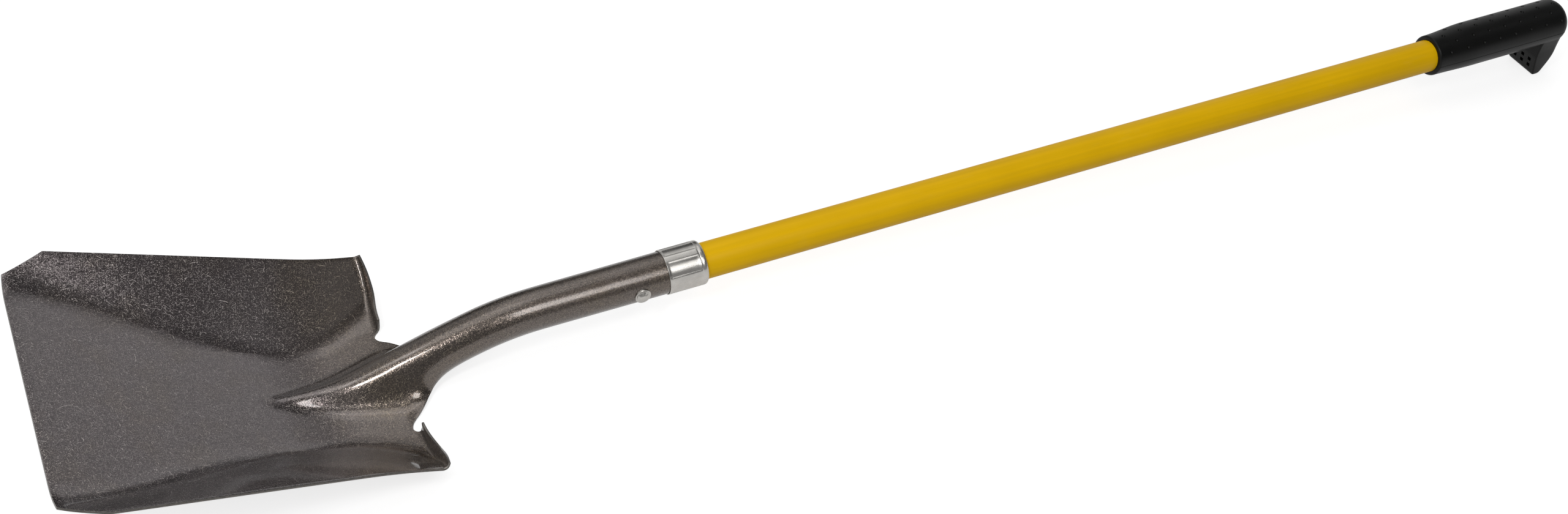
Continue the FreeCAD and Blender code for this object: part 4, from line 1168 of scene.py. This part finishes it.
class Handle(bpy.types.Operator):
    """Make the yellow jacket and finish the pieces hidden in it"""
    bl_idname = "shovel.handle"
    bl_label = "Handle"

    def execute(self, context):
        """Turn the jacket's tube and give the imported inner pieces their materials."""
        s, h = context.scene.shovel_head, context.scene.shovel_handle
        end = h.grip_start + h.bore_depth - h.skin_gap - h.end_flange
        tip, soft = s.handle_tip, JACKET_EDGE
        outer, inner = s.handle_radius, s.handle_radius - h.jacket_wall
        outline = [(tip, inner), (tip, outer - soft), (tip + soft, outer)]
        outline += [(x, outer) for x in np.linspace(tip + JACKET_PLAIN, end - JACKET_PLAIN,
                                                  JACKET_RINGS)]
        outline += [(end - soft, outer), (end, outer - soft), (end, inner)]
        outline += [(x, inner) for x in np.linspace(end - JACKET_PLAIN, tip + JACKET_PLAIN,
                                                    JACKET_INNER_RINGS)]
        outline.append(outline[0])
        mesh = bmesh.new()
        lathe(mesh, outline, even_angles(JACKET_SEGMENTS))
        obj = new_object("handle_sleeve", mesh, [extruded_jacket(h)])
        finish_piece(obj, "handle_jacket", sharp=40)
        for node, material in (("handle_core", pultruded_glass()), ("socket_plug", turned_beech()),
                               ("handle_end_plug", moulded_plug())):
            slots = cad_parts[node].data.materials
            slots.clear()
            slots.append(material)
        return {"FINISHED"}


class Grip(bpy.types.Operator):
    """Make the moulded grip with its hook, recesses and dimples"""
    bl_idname = "shovel.grip"
    bl_label = "Grip"

    def execute(self, context):
        """Join barrel and hook into one moulding, cut the bore, and sink dimples and recesses."""
        h = context.scene.shovel_handle
        material = moulded_grip(h)
        grip, hook, bore = self.barrel(h), self.hook(h), self.bore_cutter(context)
        for operation, other in (("UNION", hook), ("DIFFERENCE", bore)):
            join = grip.modifiers.new(other.name, "BOOLEAN")
            join.operation, join.object, join.solver = operation, other, "MANIFOLD"
        self.sink(grip, h, material)
        bake(grip)
        for other in (hook, bore):
            bpy.data.objects.remove(other)
        self.trim_foot(grip)
        grip.data.materials.clear()
        grip.data.materials.append(material)
        finish_piece(grip, "grip", sharp=38)
        return {"FINISHED"}

    def barrel(self, h):
        """Solid barrel, swelling from the mouth, with a rounded end and the mould line."""
        mouth, full = barrel_radii(h)
        first, swell = h.grip_start + h.mouth_round, swell_end(h)
        outline = [(h.grip_start, 0.0), (h.grip_start, mouth - h.mouth_round)]
        outline += arc((first, mouth - h.mouth_round), h.mouth_round, 180, 90, 7)[1:]
        rises = [0.0] * len(outline)
        for share in np.linspace(0.1, 1, 12):
            outline.append((first + (swell - first) * share, mouth + h.grip_swell * ease(share)))
            rises.append(h.barrel_rise * ease(share))
        last = h.grip_end - h.end_round
        outline += [(x, full) for x in np.linspace(swell, last, 30)[1:]]
        outline += arc((last, full - h.end_round), h.end_round, 90, 0, 12)[1:]
        outline.append((h.grip_end, 0.0))
        rises += [h.barrel_rise] * (len(outline) - len(rises))
        half_line = h.mould_line / full
        lines = [side * (h.mould_turn + k * half_line) for side in (1, -1) for k in (-2, -1, 1, 2)]
        even = [a for a in even_angles(GRIP_SEGMENTS)
                if all(abs(math.remainder(a - b, 2 * math.pi)) > 3 * half_line for b in lines)]
        angles = np.array(sorted(even + [b % (2 * math.pi) for b in lines]))
        from_top = np.abs(np.remainder(angles + math.pi, 2 * math.pi) - math.pi)
        in_line = np.abs(from_top - h.mould_turn) < 1.5 * half_line
        mesh = bmesh.new()
        lathe(mesh, outline, angles, rises, np.where(in_line, h.mould_line, 0.0))
        return new_object("moulded_grip", mesh, [])

    def hook(self, h):
        """Hook under the grip's end: level sections, each a rectangle with round corners."""
        widest = barrel_radii(h)[1] - h.hook_inset
        knee = h.hook_depth * HOOK_KNEE_SHARE
        taper = h.grip_end - h.hook_front - h.hook_lean - h.hook_tip
        rings = []
        for z in np.concatenate([HOOK_SUNK, -np.linspace(0, h.hook_depth, HOOK_RINGS)]):
            down, sunk = max(-z, 0.0), max(z, 0.0) / 2
            share = down / h.hook_depth
            front = h.hook_front + h.hook_lean * max(down - knee, 0) / (h.hook_depth - knee)
            back = h.grip_end - h.hook_inset - sunk - taper * curve_through(HOOK_BACK, share)
            half = h.hook_half + (widest - h.hook_half) * curve_through(HOOK_FLARE, share)
            soft = h.hook_edge * curve_through(HOOK_FOOT, share)
            corner = h.end_round + (h.hook_edge - h.end_round) * share
            rings.append(self.ring(front + soft, back - soft, half - sunk - soft, z,
                                   (h.hook_edge / 2, min(corner, (back - front) * HOOK_ROUND))))
        mesh = bmesh.new()
        add_grid(mesh, np.array(rings), wrap=True)
        mesh.verts.ensure_lookup_table()
        count = len(rings[0])
        mesh.faces.new(mesh.verts[:count])
        mesh.faces.new(mesh.verts[-count:])
        return new_object("hook", mesh, [])

    def ring(self, front, back, half, z, rounds):
        """Level rectangle with small round corners in front and larger ones behind."""
        points = []
        for x, way, side, first in ((back, -1, 1, 0), (front, 1, 1, 90), (front, 1, -1, 180),
                                    (back, -1, -1, 270)):
            radius = rounds[0] if way == 1 else rounds[1]
            points += arc((x + way * radius, side * (half - radius)), radius, first, first + 90, 9)
        return [(x, y, z) for x, y in points]

    def bore_cutter(self, context):
        """Solid that cuts the blind bore."""
        h = context.scene.shovel_handle
        bore = context.scene.shovel_head.handle_radius + h.skin_gap
        ahead, floor = h.grip_start - h.grip_wall, h.grip_start + h.bore_depth
        mesh = bmesh.new()
        outline = [(ahead, 0), (ahead, bore), (floor, bore), (floor, 0)]
        lathe(mesh, outline, even_angles(BORE_SEGMENTS))
        return new_object("bore", mesh, [])

    def sink(self, obj, h, material):
        """Sink staggered dimples into the barrel and square recesses into the hook."""
        sizes = {"Ball": h.dimple_ball, "Depth": h.dimple_depth, "Pitch": h.dimple_pitch,
                 "Turn": h.dimple_turn, "First": h.grip_start + h.dimple_first,
                 "Mouth radius": barrel_radii(h)[0], "Swell": h.grip_swell, "Rise": h.barrel_rise,
                 "Swell start": h.grip_start + h.mouth_round, "Swell end": swell_end(h),
                 "Pit size": h.pit_size, "Pit across": h.pit_across, "Pit down": h.pit_down,
                 "Pit low": h.pit_low, "Pit depth": h.pit_depth, "Hook front": h.hook_front}
        pattern = obj.modifiers.new("pattern", "NODES")
        pattern.node_group, inputs = sunk_pattern(tuple(sizes))
        counts = {"Columns": DIMPLE_COLUMNS, "Rows": DIMPLE_ROWS, "Material": material}
        for name, value in (sizes | counts).items():
            pattern[inputs[name]] = value

    def trim_foot(self, obj):
        """Trim the hook's foot flat where the shovel rests on it."""
        back = handle_line().inverted()
        mesh = bmesh.new()
        mesh.from_mesh(obj.data)
        cut = cut_away(mesh, back @ Vector((0, 0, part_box("grip")[0].z)),
                       back.to_3x3() @ Vector((0, 0, -1)))
        rim = [part for part in cut if isinstance(part, bmesh.types.BMEdge)]
        bmesh.ops.edgenet_fill(mesh, edges=rim)
        bmesh.ops.recalc_face_normals(mesh, faces=mesh.faces)
        mesh.to_mesh(obj.data)
        mesh.free()


def barrel_radii(h):
    """Radius of the grip's barrel at its mouth and where it is thickest."""
    mouth = bpy.context.scene.shovel_head.handle_radius + h.grip_wall
    return mouth, mouth + h.grip_swell


def swell_end(h):
    """Where the barrel reaches its full thickness."""
    return h.grip_start + (h.grip_end - h.grip_start) * SWELL_SHARE


def sunk_pattern(names):
    """Geometry nodes that sink dimples and square recesses into the grip."""
    tree, inputs, given = new_group("grip pattern", "GeometryNodeTree",
                                    (("Geometry", ("Geometry",)), ("Float", names),
                                     ("Int", ("Columns", "Rows")), ("Material", ("Material",))),
                                    (("Geometry", "Geometry"),))

    def scattered(count, place, shape):
        """A shape on each of a number of points."""
        points = add(tree, "GeometryNodePoints", {"Count": count})
        put = add(tree, "GeometryNodeSetPosition", {"Geometry": points, "Position": place})
        return add(tree, "GeometryNodeInstanceOnPoints", {"Points": put, "Instance": shape})

    index = add(tree, "GeometryNodeInputIndex")
    rows_run = add(tree, "ShaderNodeMath", (index, given["Columns"]), operation="DIVIDE")
    row = add(tree, "ShaderNodeMath", (rows_run,), operation="FLOOR")
    counted = add(tree, "ShaderNodeMath", (row, given["Columns"]), operation="MULTIPLY")
    column = add(tree, "ShaderNodeMath", (index, counted), operation="SUBTRACT")
    odd = add(tree, "ShaderNodeMath", (row, 2.0), operation="MODULO")
    staggered = add(tree, "ShaderNodeMath", (odd, 0.5, column), operation="MULTIPLY_ADD")
    x = add(tree, "ShaderNodeMath", (staggered, given["Pitch"], given["First"]),
            operation="MULTIPLY_ADD")
    spaces = add(tree, "ShaderNodeMath", (given["Rows"], 1.0), operation="SUBTRACT")
    from_middle = add(tree, "ShaderNodeMath", (spaces, -0.5, row), operation="MULTIPLY_ADD")
    angle = add(tree, "ShaderNodeMath", (from_middle, given["Turn"]), operation="MULTIPLY")
    swollen = add(tree, "ShaderNodeMapRange",
                  (x, given["Swell start"], given["Swell end"], 0.0, 1.0),
                  interpolation_type="SMOOTHSTEP")
    # The ball's centre stands outside the barrel, so that it sinks only as deep as the dimple
    skin = add(tree, "ShaderNodeMath", (given["Swell"], swollen, given["Mouth radius"]),
               operation="MULTIPLY_ADD")
    outside = add(tree, "ShaderNodeMath", (given["Ball"], given["Depth"]), operation="SUBTRACT")
    stand = add(tree, "ShaderNodeMath", (skin, outside), operation="ADD")
    sine = add(tree, "ShaderNodeMath", (angle,), operation="SINE")
    y = add(tree, "ShaderNodeMath", (stand, sine), operation="MULTIPLY")
    cosine = add(tree, "ShaderNodeMath", (angle,), operation="COSINE")
    lift = add(tree, "ShaderNodeMath", (given["Rise"], swollen), operation="MULTIPLY")
    z = add(tree, "ShaderNodeMath", (stand, cosine, lift), operation="MULTIPLY_ADD")
    place = add(tree, "ShaderNodeCombineXYZ", (x, y, z))
    count = add(tree, "ShaderNodeMath", (given["Columns"], given["Rows"]), operation="MULTIPLY")
    ball = add(tree, "GeometryNodeMeshIcoSphere", {"Radius": given["Ball"], "Subdivisions": 4})
    balls = scattered(count, place, ball)

    pit_rows_run = add(tree, "ShaderNodeMath", (index, float(PIT_COLUMNS)), operation="DIVIDE")
    pit_row = add(tree, "ShaderNodeMath", (pit_rows_run,), operation="FLOOR")
    pit_rest = add(tree, "ShaderNodeMath", (index, float(PIT_COLUMNS)), operation="MODULO")
    pit_column = add(tree, "ShaderNodeMath", (pit_rest, (PIT_COLUMNS - 1) / 2),
                     operation="SUBTRACT")
    pit_y = add(tree, "ShaderNodeMath", (pit_column, given["Pit across"]), operation="MULTIPLY")
    pit_rise = add(tree, "ShaderNodeMath", (pit_row, given["Pit down"]), operation="MULTIPLY")
    pit_z = add(tree, "ShaderNodeMath", (pit_rise, given["Pit low"]), operation="SUBTRACT")
    pit_place = add(tree, "ShaderNodeCombineXYZ", (given["Hook front"], pit_y, pit_z))
    deep = add(tree, "ShaderNodeMath", (given["Pit depth"], 2.0), operation="MULTIPLY")
    pit_size = add(tree, "ShaderNodeCombineXYZ", (deep, given["Pit size"], given["Pit size"]))
    box = add(tree, "GeometryNodeMeshCube", {"Size": pit_size})
    boxes = scattered(PIT_COLUMNS * PIT_ROWS, pit_place, box)

    joined = add(tree, "GeometryNodeJoinGeometry")
    for shapes in (balls, boxes):
        tree.links.new(shapes.outputs[0], joined.inputs[0])
    real = add(tree, "GeometryNodeRealizeInstances", {0: joined})
    cut = add(tree, "GeometryNodeMeshBoolean", {"Mesh 1": given["Geometry"], "Mesh 2": real},
              operation="DIFFERENCE", solver="MANIFOLD")
    finished = add(tree, "GeometryNodeRealizeInstances", {0: cut})
    painted = add(tree, "GeometryNodeSetMaterial",
                  {"Geometry": finished, "Material": given["Material"]})
    add(tree, "NodeGroupOutput", {0: painted})
    return tree, inputs


class Stage(bpy.types.Operator):
    """Set up the floor, the light and the camera"""
    bl_idname = "shovel.stage"
    bl_label = "Stage"

    def execute(self, context):
        """Plain pale floor, soft light and the camera."""
        s, scene = context.scene.shovel_stage, context.scene
        mesh = bpy.data.meshes.new("floor")
        mesh.from_pydata([(x * FLOOR_REACH, y * FLOOR_REACH, 0) for x, y in
                          ((-1, -1), (1, -1), (1, 1), (-1, 1))], [], [(0, 1, 2, 3)])
        mesh.materials.append(self.floor_material(s))
        floor = bpy.data.objects.new("floor", mesh)
        scene.collection.objects.link(floor)
        self.world(scene)
        for lamp in LAMPS:
            self.lamp(scene, *lamp)
        data = bpy.data.cameras.new("camera")
        data.lens, data.sensor_width, data.clip_end = s.lens, SENSOR, CAMERA_REACH
        camera = bpy.data.objects.new("camera", data)
        camera.location, camera.rotation_euler = s.camera_place, s.camera_turn
        scene.collection.objects.link(camera)
        scene.camera = camera
        scene.view_settings.view_transform = "Standard"
        return {"FINISHED"}

    def lamp(self, scene, name, place, aim, size_xy, power):
        """Area lamp that looks at a point and that the camera doesn't see."""
        data = bpy.data.lights.new(name, "AREA")
        data.shape, data.energy = "RECTANGLE", power
        data.size, data.size_y = size_xy
        obj = bpy.data.objects.new(name, data)
        obj.rotation_euler = (Vector(aim) - Vector(place)).to_track_quat("-Z", "Y").to_euler()
        obj.location = place
        obj.visible_camera = False
        scene.collection.objects.link(obj)

    def floor_material(self, s):
        """Matt pale floor. The camera and reflections see it almost white, with the shadow kept."""
        material, tree = new_material("Matt studio floor")
        path = add(tree, "ShaderNodeLightPath").outputs
        mirrored_in = add(tree, "ShaderNodeMath",
                          (path["Is Glossy Ray"], path["Is Transmission Ray"]), operation="MAXIMUM")
        to_camera = add(tree, "ShaderNodeMath", (path["Is Camera Ray"], FLOOR_GLOW),
                        operation="MULTIPLY")
        to_mirrors = add(tree, "ShaderNodeMath", (mirrored_in, FLOOR_GLOW_MIRRORED),
                         operation="MULTIPLY")
        seen = add(tree, "ShaderNodeMath", (to_camera, to_mirrors), operation="MAXIMUM")
        diffuse = add(tree, "ShaderNodeBsdfDiffuse", {"Color": s.floor})
        glow = add(tree, "ShaderNodeEmission", {"Color": "#ffffff", "Strength": seen})
        both = add(tree, "ShaderNodeAddShader", {0: diffuse, 1: glow})
        add(tree, "ShaderNodeOutputMaterial", {"Surface": both})
        return material

    def world(self, scene):
        """Even light of a pale room, with the brighter and dimmer parts that ROOM lists."""
        world = bpy.data.worlds.new("studio")
        world.use_nodes = True
        world.node_tree.nodes.clear()
        tree, level = world.node_tree, ROOM_LEVEL
        way = add(tree, "ShaderNodeTexCoord").outputs["Generated"]
        for toward, start, end, factor in ROOM:
            near = add(tree, "ShaderNodeVectorMath", (way, toward),
                       operation="DOT_PRODUCT").outputs["Value"]
            part = add(tree, "ShaderNodeMapRange", (near, start, end, 1.0, factor),
                       interpolation_type="SMOOTHSTEP")
            level = add(tree, "ShaderNodeMath", (level, part), operation="MULTIPLY")
        back = add(tree, "ShaderNodeBackground", {"Color": "#ffffff", "Strength": level})
        add(tree, "ShaderNodeOutputWorld", {"Surface": back})
        scene.world = world


OPERATORS = (PressedHead, Collar, Rivet, Handle, Grip, Stage)


class ShovelPanel(bpy.types.Panel):
    """The shovel's pieces and their sizes"""
    bl_idname = "VIEW3D_PT_shovel"
    bl_label = "Square mouth shovel"
    bl_space_type = "VIEW_3D"
    bl_region_type = "UI"
    bl_category = "Shovel"

    def draw(self, context):
        """List the operators, then every size."""
        for operator in OPERATORS:
            self.layout.operator(operator.bl_idname)
        for name, group in SETTINGS.items():
            box = self.layout.box()
            for key in group.__annotations__:
                box.prop(getattr(context.scene, name), key)


def register():
    """Register the classes and hang the settings on the scene."""
    for group in SETTINGS.values():
        bpy.utils.register_class(group)
    for name, group in SETTINGS.items():
        setattr(bpy.types.Scene, name, bpy.props.PointerProperty(type=group))
    for operator in OPERATORS:
        bpy.utils.register_class(operator)
    bpy.utils.register_class(ShovelPanel)


def unregister():
    """Take everything back out."""
    bpy.utils.unregister_class(ShovelPanel)
    for operator in reversed(OPERATORS):
        bpy.utils.unregister_class(operator)
    for name in SETTINGS:
        delattr(bpy.types.Scene, name)
    for group in reversed(SETTINGS.values()):
        bpy.utils.unregister_class(group)


def main():
    """Make every piece."""
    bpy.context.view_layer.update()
    register()
    bpy.ops.shovel.pressed_head()
    bpy.ops.shovel.collar()
    bpy.ops.shovel.rivet()
    bpy.ops.shovel.handle()
    bpy.ops.shovel.grip()
    bpy.ops.shovel.stage()


if __name__ == "__main__":
    main()
